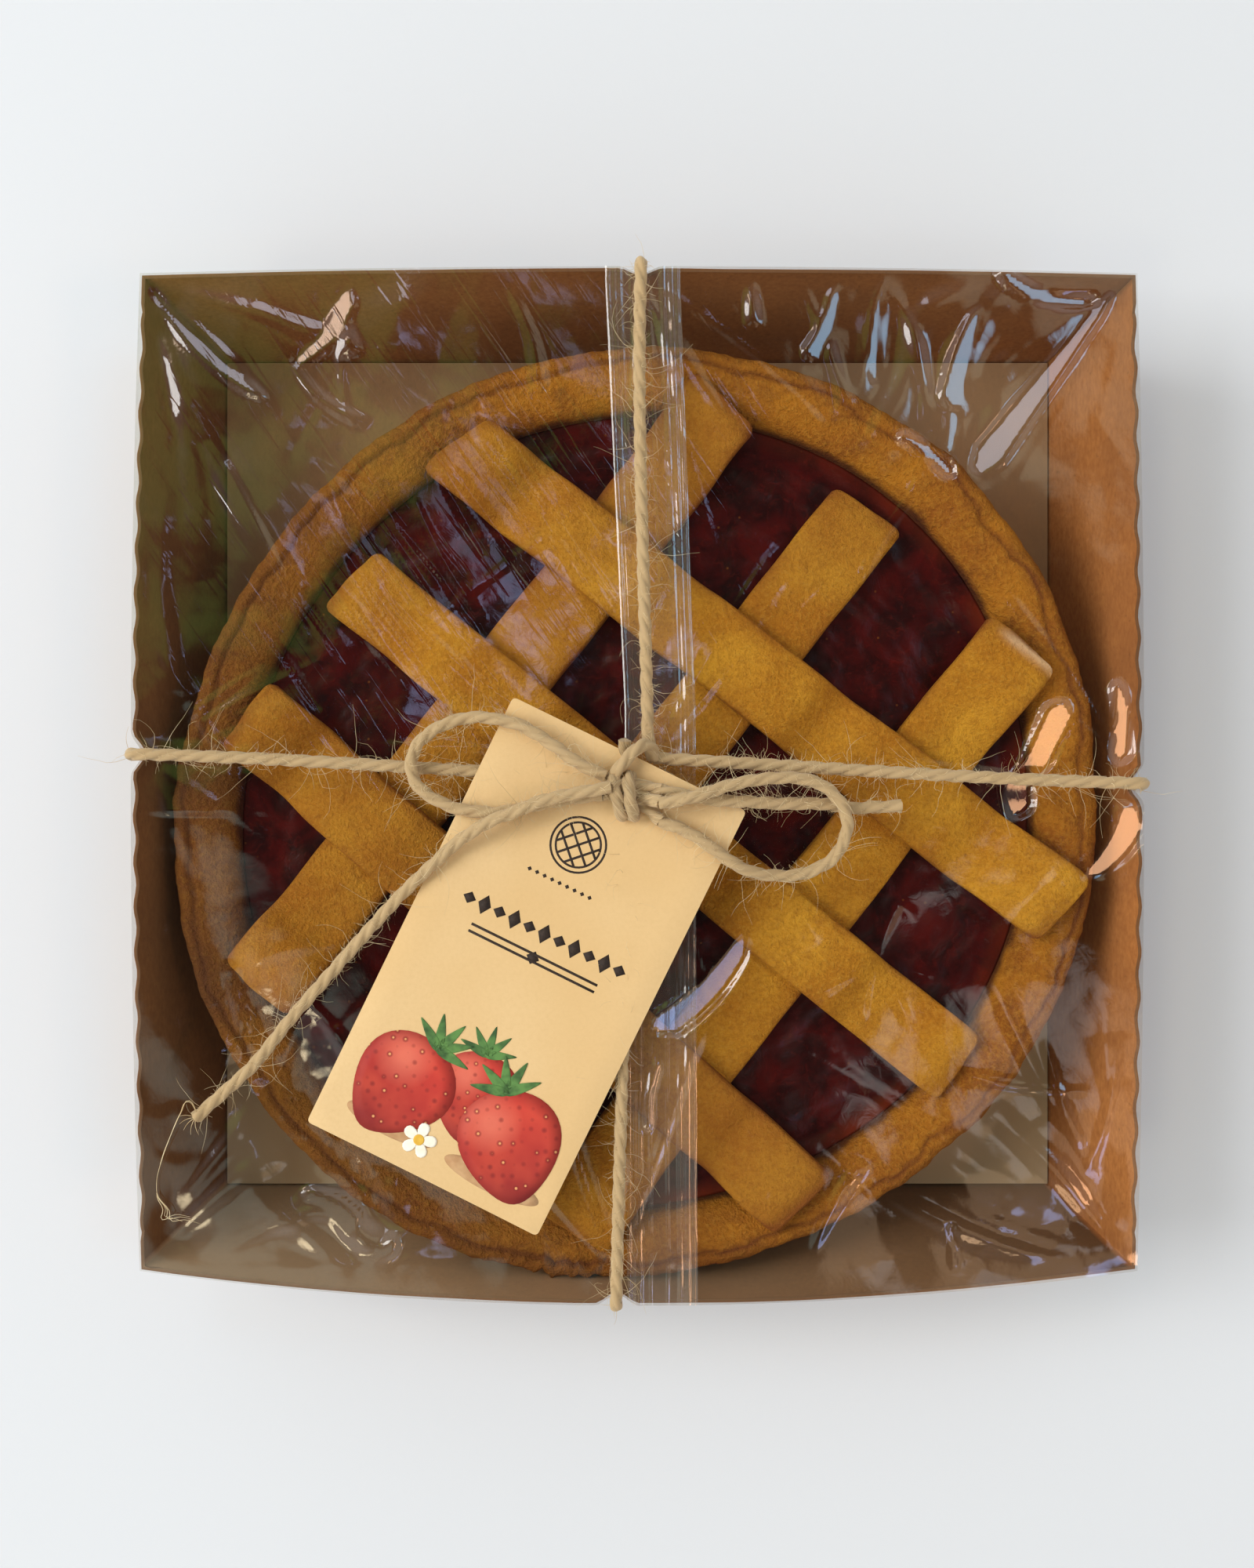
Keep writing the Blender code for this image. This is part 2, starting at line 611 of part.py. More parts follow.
def make_knot(material, parts, helpers):
    knot = lump("knot", *KNOT_ABOVE, material, parts)
    middle, radius, height = KNOT_NECK
    bm = bmesh.new()
    bmesh.ops.create_cone(
        bm, cap_ends=True, segments=12, radius1=radius * MM, radius2=radius * MM, depth=height * MM
    )
    bmesh.ops.translate(bm, vec=Vector(middle) * MM, verts=bm.verts)
    joined = [add_bmesh("join_neck", bm, material, helpers)]
    joined.append(lump("join_below", *KNOT_BELOW, material, helpers))
    joined.append(lump("join_wrap", *KNOT_WRAP, material, helpers))
    for other in joined:
        boolean(knot, make_helper(other), "UNION")


def main():
    clear_scene()
    parts = make_collection("jam_crostata_pack")
    helpers = make_collection("helpers")
    board = make_material("kraft_board", (0.30, 0.16, 0.07), 0.85)
    crust = make_material("baked_crust", (0.42, 0.20, 0.05), 0.75)
    dough = make_material("lattice_pastry", (0.50, 0.27, 0.07), 0.7)
    jam = make_material("red_jam", (0.10, 0.01, 0.01), 0.2)
    clear = make_material("clear_film", (0.9, 0.92, 0.95), 0.1, alpha=0.25)
    card = make_material("cream_card", (0.75, 0.57, 0.33), 0.7)
    jute = make_material("jute_twine", (0.62, 0.50, 0.28), 0.9)

    grooves = [
        groove_cutter("cut_groove_across", (-RIM_HALF, LEFT_Y), (RIM_HALF, RIGHT_Y), board, helpers),
        groove_cutter("cut_groove_along", (FRONT_X, -RIM_HALF), (BACK_X, RIM_HALF), board, helpers),
    ]
    make_tray(board, parts, [rim_wave_cutter(board, helpers), *grooves])
    make_pie(crust, jam, parts)
    make_lattice(dough, parts)
    make_film(clear, parts, grooves)
    make_label(card, parts)
    make_all_twine(jute, parts)
    make_knot(jute, parts, helpers)


main()
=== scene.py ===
"""The looks of a wrapped jam crostata: pie, board tray, clear film, paper tag and jute twine.

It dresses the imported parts, in metres, +Z up, with the origin under the middle of the pack. Sizes are
written in millimetres and turned to metres where a mesh is placed.
"""

import math
import random

import bmesh
import bpy
import numpy as np
from mathutils import Euler, Matrix, Vector, noise
from mathutils.bvhtree import BVHTree


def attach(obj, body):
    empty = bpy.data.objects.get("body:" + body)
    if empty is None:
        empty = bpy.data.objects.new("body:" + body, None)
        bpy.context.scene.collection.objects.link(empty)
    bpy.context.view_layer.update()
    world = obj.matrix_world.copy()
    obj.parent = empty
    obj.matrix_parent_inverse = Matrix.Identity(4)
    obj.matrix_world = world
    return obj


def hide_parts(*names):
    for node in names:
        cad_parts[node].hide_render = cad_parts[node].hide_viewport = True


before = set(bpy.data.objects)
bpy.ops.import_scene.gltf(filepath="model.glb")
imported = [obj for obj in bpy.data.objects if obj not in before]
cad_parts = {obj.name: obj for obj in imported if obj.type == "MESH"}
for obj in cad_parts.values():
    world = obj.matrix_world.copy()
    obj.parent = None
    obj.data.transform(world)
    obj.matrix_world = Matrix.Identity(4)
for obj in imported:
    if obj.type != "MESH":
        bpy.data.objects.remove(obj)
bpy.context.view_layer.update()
MM = 0.001
dice = random.Random(4)

# Camera: straight above the pack
CAMERA_PLACE = (-2.36, 0.45, 384.0)
CAMERA_LENS = 33.95
SENSOR = 36.0

# Soft panels that face the pack, this many metres away: heading and lean from straight up in degrees,
# width and height in metres, brightness and tint
PANEL_REACH = 2.5
PANELS = {
    "key": (170, 52, (1.3, 1.3), 7.7, "#FFFCF8"),
    "white_panel": (105, 34, (0.5, 0.45), 4.4, "#D4D8E6"),
    "left_panel": (184, 36, (0.12, 0.06), 4.0, "#E0ECFF"),
    "front_glint_panel": (-51, 33, (0.42, 0.34), 3.9, "#A4BCF6"),
    "peach_panel": (-22, 39.5, (0.56, 0.28), 8.5, "#FFC090"),
    "front_panel": (282, 36, (0.4, 0.16), 5.0, "#FFD2A0"),
}
# Soft glows far away that the flat film mirrors: heading, lean, inner and outer reach in degrees, tint, gain
GLOWS = {
    "green_glow": (138, 23, 7, 14, "#86AA50", 1.1),
    "straw_glow": (46, 26, 6, 10, "#D8D6B8", 1.0),
    "apricot_glow": (-42, 25, 7, 9.5, "#FFD9B0", 0.9),
    "sage_glow": (-133, 23, 5, 11, "#B8C8BC", 1.1),
    "pale_glow": (-38, 15, 1, 4, "#E0DCD8", 1.6),
    "blue_glow": (15, 32, 3, 8, "#A8DCFF", 5.0),
    "gold_glow": (228, 38, 2, 6, "#FFEBC0", 8.0),
    "rose_glow": (135, 36, 2, 6, "#FFDCC0", 8.0),
    "outer_spot": (120, 11.3, 0.4, 1.8, "#B8C4E8", 1.3),
    "middle_spot": (119, 8.7, 0.4, 1.8, "#B8C4E8", 1.5),
    "inner_spot": (116, 6, 0.4, 2, "#B0BEEC", 3.0),
}

# Tray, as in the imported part
TRAY_HEIGHT = 42.0
BOARD = 1.1
WALL_BOARD = 0.7
BASE_THICK = 3.8
FOOT_HALF = 105.8
RIM_HALF = 115.0
BOW = {"left": 2.1, "right": 1.6, "back": 1.6, "front": 8.0}
FULL_BOW_HEIGHT = 29.0
TRAY_X = 0.3
TRAY_Y = 3.2
PINCH = {"left": 2.6, "right": 2.8, "back": 1.7, "front": 2.6}
PINCH_FROM = 36.0
PINCH_REACH = 0.045
WAVE_PITCH = 10.4
WAVE_HEIGHT = 1.9
WAVE_HALF_LENGTH = 107.0
SIDES = ("front", "right", "back", "left")

# Twine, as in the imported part
TWINE = 3.0
GAP = 0.3
FILM = 0.4
TWINE_CLEAR = GAP + FILM + 1.5 * GAP + TWINE / 2
TWINE_FOOT = 1.75
TWINE_BEND = TWINE_CLEAR - GAP - FILM
CROSSING = {"left": 7.3, "right": 0.6, "back": 0.8, "front": -4.7}
OPPOSITE = {"left": "right", "right": "left", "back": "front", "front": "back"}
CROSS_X = (CROSSING["back"] + CROSSING["front"]) / 2
CROSS_Y = (CROSSING["left"] + CROSSING["right"]) / 2
DESCENT_LEVELS = (36.0, 29.0, 17.0)
RUN_ENDS = {"left": (-6.6, 1.6), "right": (3.8, 6.4), "back": (2.4, 11.2), "front": (-1.6, -2.6)}
BOW_LEFT = (
    (-7.3, 2.4, 51.2), (-10.3, 3.6, 51.6), (-14.2, 5.7, 51.8), (-18.2, 8.6, 51.5),
    (-22.3, 11.4, 51.0), (-26.4, 13.7, 50.4), (-30.5, 14.8, 49.8), (-34.7, 15.5, 49.3),
    (-38.8, 15.4, 48.9), (-42.9, 14.3, 48.6), (-47.0, 12.2, 48.3), (-49.9, 9.4, 48.2),
    (-51.3, 6.1, 48.3), (-51.1, 2.4, 48.4), (-49.1, -0.8, 48.5), (-45.4, -3.3, 48.5),
    (-41.0, -5.1, 48.6), (-36.3, -5.8, 48.8), (-32.2, -6.1, 49.0), (-28.1, -5.4, 49.2),
    (-22.4, -4.2, 49.5), (-14.2, -2.7, 49.9), (-8.0, -2.0, 50.2),
)
TAIL_LONG = (
    (-6.0, -0.3, 53.4), (-10.2, -1.0, 53.7), (-14.1, -1.7, 53.6), (-18.1, -2.5, 53.4),
    (-22.2, -3.6, 53.2), (-27.1, -5.7, 52.8), (-32.4, -7.6, 52.2), (-37.0, -10.2, 50.8),
    (-41.6, -13.4, 49.4), (-45.8, -17.2, 48.4), (-53.7, -24.6, 46.6), (-61.6, -33.1, 45.2),
    (-69.3, -41.7, 44.4), (-79.5, -53.3, 44.0), (-88.7, -64.6, 44.2), (-96.4, -71.6, 44.3),
    (-101.4, -76.2, 44.5),
)
BOW_RIGHT = (
    (5.0, -3.9, 53.1), (9.7, -3.1, 54.2), (14.3, -1.8, 54.3), (18.7, -0.4, 53.6),
    (23.3, 0.8, 53.0), (27.7, 1.5, 52.3), (32.4, 1.9, 51.6), (36.8, 1.7, 51.0),
    (41.0, 0.5, 50.5), (44.2, -1.7, 50.0), (46.6, -4.9, 49.6), (47.6, -8.6, 49.0),
    (46.8, -12.7, 48.3), (44.6, -16.3, 47.6), (41.0, -18.8, 47.1), (36.4, -20.3, 46.9),
    (31.9, -20.4, 47.4), (27.2, -19.8, 48.8), (22.6, -18.0, 50.3), (18.0, -14.8, 51.0),
    (13.5, -11.6, 51.0), (9.0, -9.3, 50.7), (5.0, -8.0, 50.2),
)
TAIL_SHORT = (
    (5.2, -0.8, 50.4), (8.0, -1.5, 50.6), (12.1, -2.3, 50.8), (18.9, -3.3, 50.9),
    (25.8, -3.6, 50.3), (32.7, -4.0, 48.8), (39.6, -4.0, 47.4), (44.3, -4.2, 46.5),
    (48.9, -5.1, 45.8), (53.7, -4.8, 45.4), (60.5, -4.6, 45.1),
)

# Rope: three strands laid together
ROPE_STEP = 0.8
ROPE_SIDES = 18
ROPE_LAY = 15.0  # length of one full turn of the strands
STRAND_GROOVE = 0.32  # share of the radius between two strands

# Pie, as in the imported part
PIE_X = -0.2
PIE_Y = -6.6
PIE_RADIUS = 110.0
PIE_HARMONICS = ((2, 2.3, 49), (3, 0.45, -23), (4, 0.35, -37), (5, 0.35, -33))

# Tag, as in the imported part
TAG_WIDTH = 59.0
TAG_LENGTH = 108.5
TAG_THICK = 0.5
TAG_MIDDLE = (-25.6, -41.4, 46.3)
TAG_TURN = (0.0347, -0.0228, math.radians(-26.15))
TAG_CORNER = 1.0
TAG_HOLE_DROP = 6.0
TAG_HOLE_RADIUS = 2.6


# Colours and materials


def colour(code):
    """A linear colour from an sRGB hex code."""
    parts = [int(code[i:i + 2], 16) / 255 for i in (1, 3, 5)]
    return (*((c / 12.92 if c <= 0.04045 else ((c + 0.055) / 1.055) ** 2.4) for c in parts), 1.0)


def per_mm(size):
    """A texture scale whose pattern measures this many millimetres."""
    return 1000.0 / size


def add(tree, kind, inputs=None, **settings):
    """Adds a shader node; inputs holds a value or a socket to link for each input."""
    made = tree.nodes.new("ShaderNode" + kind)
    for name, value in settings.items():
        setattr(made, name, value)
    for name, value in (inputs or {}).items():
        if isinstance(value, bpy.types.NodeSocket):
            tree.links.new(value, made.inputs[name])
        else:
            made.inputs[name].default_value = value
    return made


def mixed(tree, factor, first, second, blend="MIX"):
    """The colour between two colours or sockets."""
    inputs = {0: factor, 6: first, 7: second}
    return add(tree, "Mix", inputs, data_type="RGBA", blend_type=blend, clamp_factor=True).outputs[2]


def ranged(tree, value, low, high, to_low=0.0, to_high=1.0):
    inputs = {"Value": value, "From Min": low, "From Max": high, "To Min": to_low, "To Max": to_high}
    return add(tree, "MapRange", inputs).outputs[0]


def grain(tree, coords, size, detail=4.0, roughness=0.55, distortion=0.0):
    """Noise whose largest features measure size, in millimetres."""
    inputs = {
        "Vector": coords, "Scale": per_mm(size), "Detail": detail, "Roughness": roughness,
        "Distortion": distortion,
    }
    return add(tree, "TexNoise", inputs).outputs[0]


def speckles(tree, coords, scale, scatter=1.0):
    """How far each place is from the nearest of many spots."""
    inputs = {"Vector": coords, "Scale": scale, "Randomness": scatter}
    return add(tree, "TexVoronoi", inputs).outputs["Distance"]


def distance_from(tree, coords, middle):
    return add(tree, "VectorMath", {0: coords, 1: middle}, operation="DISTANCE").outputs["Value"]


def stretched(tree, coords, scale):
    return add(tree, "Mapping", {"Vector": coords, "Scale": scale}).outputs[0]


def object_coords(tree):
    return add(tree, "TexCoord").outputs["Object"]


def material_of(name):
    material = bpy.data.materials.new(name)
    material.use_nodes = True
    tree = material.node_tree
    return material, tree, tree.nodes["Principled BSDF"]


def paint(tree, shader, tones, *layers, roughness, specular=0.5):
    """Colours a surface, one layer over another.

    Tones hold a pattern, the range of it that counts, and a code for either end. Each layer holds a pattern,
    its range, the most of it that shows and its code, or else a mesh's own layer by name and a code.
    """
    pattern, low, high, dark, light = tones
    base = mixed(tree, ranged(tree, pattern, low, high), colour(dark), colour(light))
    for pattern, *limits, code in layers:
        if limits:
            low, high, most = limits
            factor = ranged(tree, pattern, low, high, 0.0, most)
        else:
            factor = add(tree, "Attribute", attribute_name=pattern).outputs["Fac"]
        base = mixed(tree, factor, base, colour(code))
    tree.links.new(base, shader.inputs["Base Color"])
    shader.inputs["Roughness"].default_value = roughness
    shader.inputs["Specular IOR Level"].default_value = specular


def bumped(tree, shader, heights, distance):
    """Bump from a list of (height socket, strength), the coarsest first."""
    normal = None
    for height, strength in heights:
        inputs = {"Height": height, "Strength": strength, "Distance": distance}
        if normal is not None:
            inputs["Normal"] = normal
        normal = add(tree, "Bump", inputs).outputs[0]
    tree.links.new(normal, shader.inputs["Normal"])


def kraft_board_material():
    """Uncoated kraft board: matt, with long fibres and darker flecks; a die-cut edge is darker. Painted
    shade darkens the walls and floor away from the key, and a painted veil, a painted reflection, pales
    parts of the inside.
    """
    material, tree, shader = material_of("kraft_board_uncoated")
    coords = object_coords(tree)
    # Real fibres and flecks are a fifth as wide, too fine to show, so both are drawn this coarse
    fibres = grain(tree, stretched(tree, coords, (1.0, 0.5, 1.0)), 1.1, 4.0, 0.7)
    clouds = grain(tree, coords, 35.0, 3.0)
    flecks = grain(tree, coords, 1.1, 2.0, 0.5)
    paint(
        tree, shader, (fibres, 0.25, 0.75, "#A2632F", "#C88546"), (clouds, 0.35, 0.65, 0.5, "#80502E"),
        (flecks, 0.66, 0.74, 0.35, "#5F3D24"), ("painted_shade", "#4E3B26"), ("painted_veil", "#BCA684"),
        ("cut_edge", "#5F452E"), roughness=0.82, specular=0.3,
    )
    bumped(tree, shader, ((clouds, 0.15), (fibres, 0.2)), 0.2 * MM)
    return material


def crust_material():
    """Shortcrust baked amber: matt and sandy, browner on its crest, stained where the jam met it, with
    painted shade on its left side and in its crack.
    """
    material, tree, shader = material_of("shortcrust_baked")
    coords = object_coords(tree)
    clouds = grain(tree, coords, 26.0, 3.0, 0.6, 0.6)
    patches = grain(tree, coords, 7.0, 4.0, 0.65)
    # Real sandy crumb is half as coarse, too fine to show
    sand = grain(tree, coords, 1.1, 3.0, 0.7)
    paint(
        tree, shader, (clouds, 0.35, 0.65, "#985814", "#BA7818"), (patches, 0.48, 0.7, 0.55, "#6C3C14"),
        (sand, 0.48, 0.34, 0.15, "#6A3C12"), (sand, 0.45, 0.7, 0.6, "#C0862C"), ("toast", "#6E3A14"),
        ("painted_left_shade", "#4E3019"), ("jam_stain", "#380A08"), roughness=0.72, specular=0.2,
    )
    bumped(tree, shader, ((patches, 0.5), (sand, 1.0)), 1.2 * MM)
    return material


def lattice_material():
    """Rolled shortcrust strips, baked golden: smooth and matt on top, with fine pores, browner at cuts, and
    a painted highlight on one curled lip.
    """
    material, tree, shader = material_of("shortcrust_rolled_strip")
    coords = object_coords(tree)
    clouds = grain(tree, coords, 22.0, 3.0, 0.55, 0.4)
    mottle = grain(tree, coords, 2.2, 4.0, 0.7)
    # Real flour grain is half as coarse, too fine to show
    pores = grain(tree, coords, 0.9, 3.0, 0.75)
    pits = speckles(tree, coords, per_mm(3.4))
    paint(
        tree, shader, (clouds, 0.34, 0.68, "#BA7814", "#DCA02A"), (mottle, 0.46, 0.7, 0.4, "#935A14"),
        (pores, 0.5, 0.36, 0.3, "#8E5814"), (pores, 0.5, 0.7, 0.45, "#D6A43E"),
        (pits, 0.12, 0.05, 0.35, "#7A4A14"), ("toast", "#8A4E18"), ("painted_lip_highlight", "#E8C49A"),
        roughness=0.66, specular=0.2,
    )
    bumped(tree, shader, ((mottle, 0.5), (pores, 0.9)), 0.9 * MM)
    return material


def jam_material():
    """Set strawberry jam: dark red, glossy and lumpy, with paler fruit and pips near its surface, and
    painted light at its thin edge.
    """
    material, tree, shader = material_of("fruit_jam_set")
    coords = object_coords(tree)
    lumps = grain(tree, coords, 9.0, 4.0, 0.6, 0.5)
    threads = grain(tree, coords, 2.4, 4.0, 0.6, 1.2)
    pips = speckles(tree, coords, per_mm(4.2))
    paint(
        tree, shader, (lumps, 0.38, 0.66, "#260404", "#4A0907"), (threads, 0.55, 0.8, 0.4, "#6A1810"),
        (pips, 0.09, 0.04, 0.5, "#7C4418"), ("thin_edge_painted_light", "#7E3010"), roughness=0.27, specular=0.25,
    )
    shader.inputs["IOR"].default_value = 1.42
    bumped(tree, shader, ((lumps, 0.35), (threads, 0.12)), 0.6 * MM)
    return material


def card_material():
    """Uncoated cream card: matt, with a fine felt grain that shows as faint mottling."""
    material, tree, shader = material_of("cream_card_uncoated")
    coords = object_coords(tree)
    felt = grain(tree, coords, 0.9, 4.0, 0.7)
    clouds = grain(tree, coords, 45.0, 2.0)
    paint(
        tree, shader, (clouds, 0.35, 0.65, "#DDBB85", "#E4C592"), (felt, 0.4, 0.7, 0.25, "#D2AF7A"),
        roughness=0.78, specular=0.3,
    )
    bumped(tree, shader, ((felt, 0.2),), 0.1 * MM)
    return material


def ink_material():
    """Dark brown printing ink, soaked into the card and as matt as it."""
    material, tree, shader = material_of("printing_ink_dark")
    felt = grain(tree, object_coords(tree), 0.5, 3.0)
    paint(tree, shader, (felt, 0.3, 0.8, "#1E130D", "#3A281C"), roughness=0.75)
    return material


def berry_print_material():
    """A printed berry: red, shaded to its lower side, with rows of seeds, by each berry's own map."""
    material, tree, shader = material_of("printing_ink_berry")
    place = add(tree, "UVMap").outputs[0]
    height = add(tree, "SeparateXYZ", {"Vector": place}).outputs["Y"]
    seeds = speckles(tree, place, 10.0, 0.4)
    blush = grain(tree, object_coords(tree), 9.0, 2.0)
    off_middle = distance_from(tree, place, (0.5, 0.5, 0.0))
    off_light = distance_from(tree, place, (0.34, 0.7, 0.0))
    paint(
        tree, shader, (height, 0.0, 1.0, "#8E1A18", "#D0392B"), (blush, 0.4, 0.7, 0.4, "#E0583C"),
        (off_middle, 0.34, 0.5, 0.6, "#7E1412"), (off_light, 0.3, 0.05, 0.5, "#F08A70"),
        (seeds, 0.34, 0.16, 0.75, "#7E1512"), (seeds, 0.15, 0.09, 0.9, "#E9A66A"), roughness=0.7,
    )
    return material


def flat_print_material(name, dark, light):
    material, tree, shader = material_of(name)
    tone = grain(tree, object_coords(tree), 3.0, 2.0)
    paint(tree, shader, (tone, 0.35, 0.65, dark, light), roughness=0.72)
    return material


def jute_material():
    """Natural jute, spun and laid in three strands: matt tan fibres along each strand, with darker ones."""
    material, tree, shader = material_of("jute_three_strand")
    along = add(tree, "UVMap").outputs[0]
    # Real fibres are some 0.05 mm thick, too fine to show, so each line stands for a few
    fibre_map = stretched(tree, along, (0.3, 30.0, 1.0))
    fibres = add(tree, "TexNoise", {"Vector": fibre_map, "Scale": 1.0, "Detail": 3.0}).outputs[0]
    patches = add(tree, "TexNoise", {"Vector": along, "Scale": 0.12, "Detail": 2.0}).outputs[0]
    paint(
        tree, shader, (patches, 0.35, 0.65, "#A98F66", "#C4A97E"), (fibres, 0.5, 0.75, 0.7, "#7A5F3C"),
        (fibres, 0.45, 0.25, 0.6, "#E0CDA6"), roughness=0.85,
    )
    shader.inputs["Sheen Weight"].default_value = 0.2
    bumped(tree, shader, ((fibres, 0.8),), 0.3 * MM)
    return material


def jute_fibre_material():
    """Loose jute fibres: fine, tan and slightly bright against the light."""
    material, tree, shader = material_of("jute_loose_fibre")
    tone = grain(tree, object_coords(tree), 6.0, 2.0)
    paint(tree, shader, (tone, 0.3, 0.7, "#B79A6A", "#E8D8B0"), roughness=0.6)
    return material


# Cellophane's own index is near 1.5, but one sheet here mirrors for both of its faces
FILM_INDEX = 1.7


def film_material(name, haze):
    """Clear cellophane: it shows what is under it and mirrors the lights where a fold turns to them."""
    material, tree, _ = material_of(name)
    tree.nodes.clear()
    coords = object_coords(tree)
    fine = grain(tree, coords, 3.0, 3.0, 0.5, 0.8)
    # Stretch lines run from the back left to the front right, and show most over the back left
    turned = add(tree, "Mapping", {"Vector": coords, "Rotation": (0, 0, math.radians(55))}).outputs[0]
    lines = ranged(tree, grain(tree, stretched(tree, turned, (0.05, 1.0, 1.0)), 1.5, 1.0, 0.4), 0.56, 0.72)
    where = ranged(tree, distance_from(tree, coords, (-0.045, 0.07, 0.044)), 0.085, 0.03, 0.05, 0.9)
    inputs = {"Height": fine, "Strength": 0.07, "Distance": 0.3 * MM}
    normal = add(tree, "Bump", inputs).outputs[0]
    inputs = {"Height": lines, "Strength": where, "Distance": 0.06 * MM, "Normal": normal}
    normal = add(tree, "Bump", inputs).outputs[0]
    # One sheet has no inside: its back mirrors as its front does
    back = add(tree, "NewGeometry").outputs["Backfacing"]
    index = ranged(tree, back, 0.0, 1.0, FILM_INDEX, 1 / FILM_INDEX)
    mirrored = add(tree, "Fresnel", {"IOR": index, "Normal": normal}).outputs[0]
    clear = add(tree, "BsdfTransparent", {"Color": (0.97, 0.97, 0.965, 1)}).outputs[0]
    milky = add(tree, "BsdfDiffuse", {"Color": colour("#E8DCCB")}).outputs[0]
    clear = add(tree, "MixShader", {0: haze, 1: clear, 2: milky}).outputs[0]
    gloss = add(tree, "BsdfGlossy", {"Color": (1, 1, 1, 1), "Roughness": 0.07, "Normal": normal}).outputs[0]
    film = add(tree, "MixShader", {0: mirrored, 1: clear, 2: gloss}).outputs[0]
    add(tree, "OutputMaterial", {"Surface": film})
    return material


# Making and placing pieces


def new_piece(name, bm, material, smooth_below=None):
    """A finished mesh object in metres from a bmesh in millimetres."""
    mesh = bpy.data.meshes.new(name)
    bmesh.ops.scale(bm, vec=(MM, MM, MM), verts=bm.verts)
    bm.to_mesh(mesh)
    bm.free()
    mesh.materials.append(material)
    mesh.shade_smooth()
    if smooth_below is not None:
        mesh.set_sharp_from_angle(angle=math.radians(smooth_below))
    return placed(name, mesh)


def placed(name, data):
    """An object in the scene that shows this mesh, curve, light or camera."""
    obj = bpy.data.objects.new(name, data)
    bpy.context.scene.collection.objects.link(obj)
    return obj


def mesh_of(curve):
    """The mesh that a curve makes."""
    maker = placed(curve.name + "_curve", curve)
    bpy.context.view_layer.update()
    mesh = bpy.data.meshes.new_from_object(maker.evaluated_get(bpy.context.evaluated_depsgraph_get()))
    bpy.data.objects.remove(maker, do_unlink=True)
    return mesh


def grid_of(bm, columns, rows):
    """A grid's vertices with their column and row, for a rule that places them."""
    verts = bmesh.ops.create_grid(bm, x_segments=columns, y_segments=rows, size=1, calc_uvs=True)["verts"]
    return [(v, round((v.co.x + 1) / 2 * columns), round((v.co.y + 1) / 2 * rows)) for v in verts]


def float_layers(bm, *names):
    """Layers of one number for each vertex, which the materials read by name."""
    return [bm.verts.layers.float.new(name) for name in names]


def spin_profile(bm, profile, steps):
    """Turns a line of (radius, height) points once round."""
    verts = [bm.verts.new((radius, 0, height)) for radius, height in profile]
    edges = [bm.edges.new(pair) for pair in zip(verts, verts[1:])]
    bmesh.ops.spin(
        bm, geom=verts + edges, cent=(0, 0, 0), axis=(0, 0, 1), angle=math.tau, steps=steps, use_merge=True
    )
    bmesh.ops.remove_doubles(bm, verts=bm.verts, dist=0.001)


def thicken_down(bm, depth):
    """Gives a sheet a body below it."""
    below = bmesh.ops.extrude_face_region(bm, geom=list(bm.faces))["geom"]
    low = [g for g in below if isinstance(g, bmesh.types.BMVert)]
    bmesh.ops.translate(bm, verts=low, vec=(0, 0, -depth))
    bmesh.ops.recalc_face_normals(bm, faces=bm.faces)


def thicken_up(obj, depth):
    """Gives a flat piece a body above it."""
    shell = obj.modifiers.new("thickness", "SOLIDIFY")
    shell.thickness = depth * MM
    shell.offset = 1


def soften_edges(obj, width, segments):
    edge = obj.modifiers.new("soft_edge", "BEVEL")
    edge.width = width * MM
    edge.segments = segments
    edge.limit_method = "ANGLE"
    edge.angle_limit = math.radians(60)


def finish_piece(obj, slot, *nodes):
    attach(obj, "root")
    if nodes:
        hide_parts(*nodes)


# The tray

WALL_STEPS = 140
WALL_LEVELS = (0.0, 1.5, BASE_THICK, 10.0, 17.0, 23.0, 29.0, 34.0, 37.0, 39.0, 40.4, 41.3, TRAY_HEIGHT)
RIM_ROUND = 0.16
# The base stands on pads, with two grooves between them for the twine; each wall has a notch there
PAD_HEIGHT = 3.3
PAD_LIFT = 0.02
GROOVE_HALF = 4.2
NOTCH_HALF = 2.4
PLATE_CELLS = 60
PLATE_THICK = 0.5


def flare_at(z):
    return FOOT_HALF + (RIM_HALF - FOOT_HALF) * z / TRAY_HEIGHT


def twine_place(side):
    """Where the twine crosses a wall, from -1 to 1 along it."""
    along = {
        "front": CROSSING["front"] - TRAY_X,
        "right": CROSSING["right"] - TRAY_Y,
        "back": TRAY_X - CROSSING["back"],
        "left": TRAY_Y - CROSSING["left"],
    }
    return along[side] / RIM_HALF


def eased(share):
    share = max(0.0, min(1.0, share))
    return share * share * (3 - 2 * share)


def wall_out(side, along, z):
    """From the tray's middle lines to a wall's outer face, at a place from -1 to 1 along it."""
    swell = math.sin(math.pi / 2 * min(1.0, z / FULL_BOW_HEIGHT))
    near = eased(1 - abs(along - twine_place(side)) / PINCH_REACH)
    pull = PINCH[side] * max(0.0, z - PINCH_FROM) / (TRAY_HEIGHT - PINCH_FROM) * near
    return flare_at(z) + BOW[side] * swell * (1 - along * along) - pull


def wall_point(side, along, z, outset):
    """A point on a wall, moved outwards from its outer face."""
    out = wall_out(side, along, z) + outset
    across = along * (flare_at(z) + outset)
    x, y = {
        "front": (across, -out),
        "right": (out, across),
        "back": (-across, out),
        "left": (-out, -across),
    }[side]
    return Vector((TRAY_X + x, TRAY_Y + y, z))


def wall_grid(bm, per_side, rows):
    """A grid once round the tray: each vertex with its wall, its place from -1 to 1 along it and its row."""
    for vert, column, row in grid_of(bm, 4 * per_side, rows):
        yield vert, SIDES[(column // per_side) % 4], 2 * (column % per_side) / per_side - 1, row


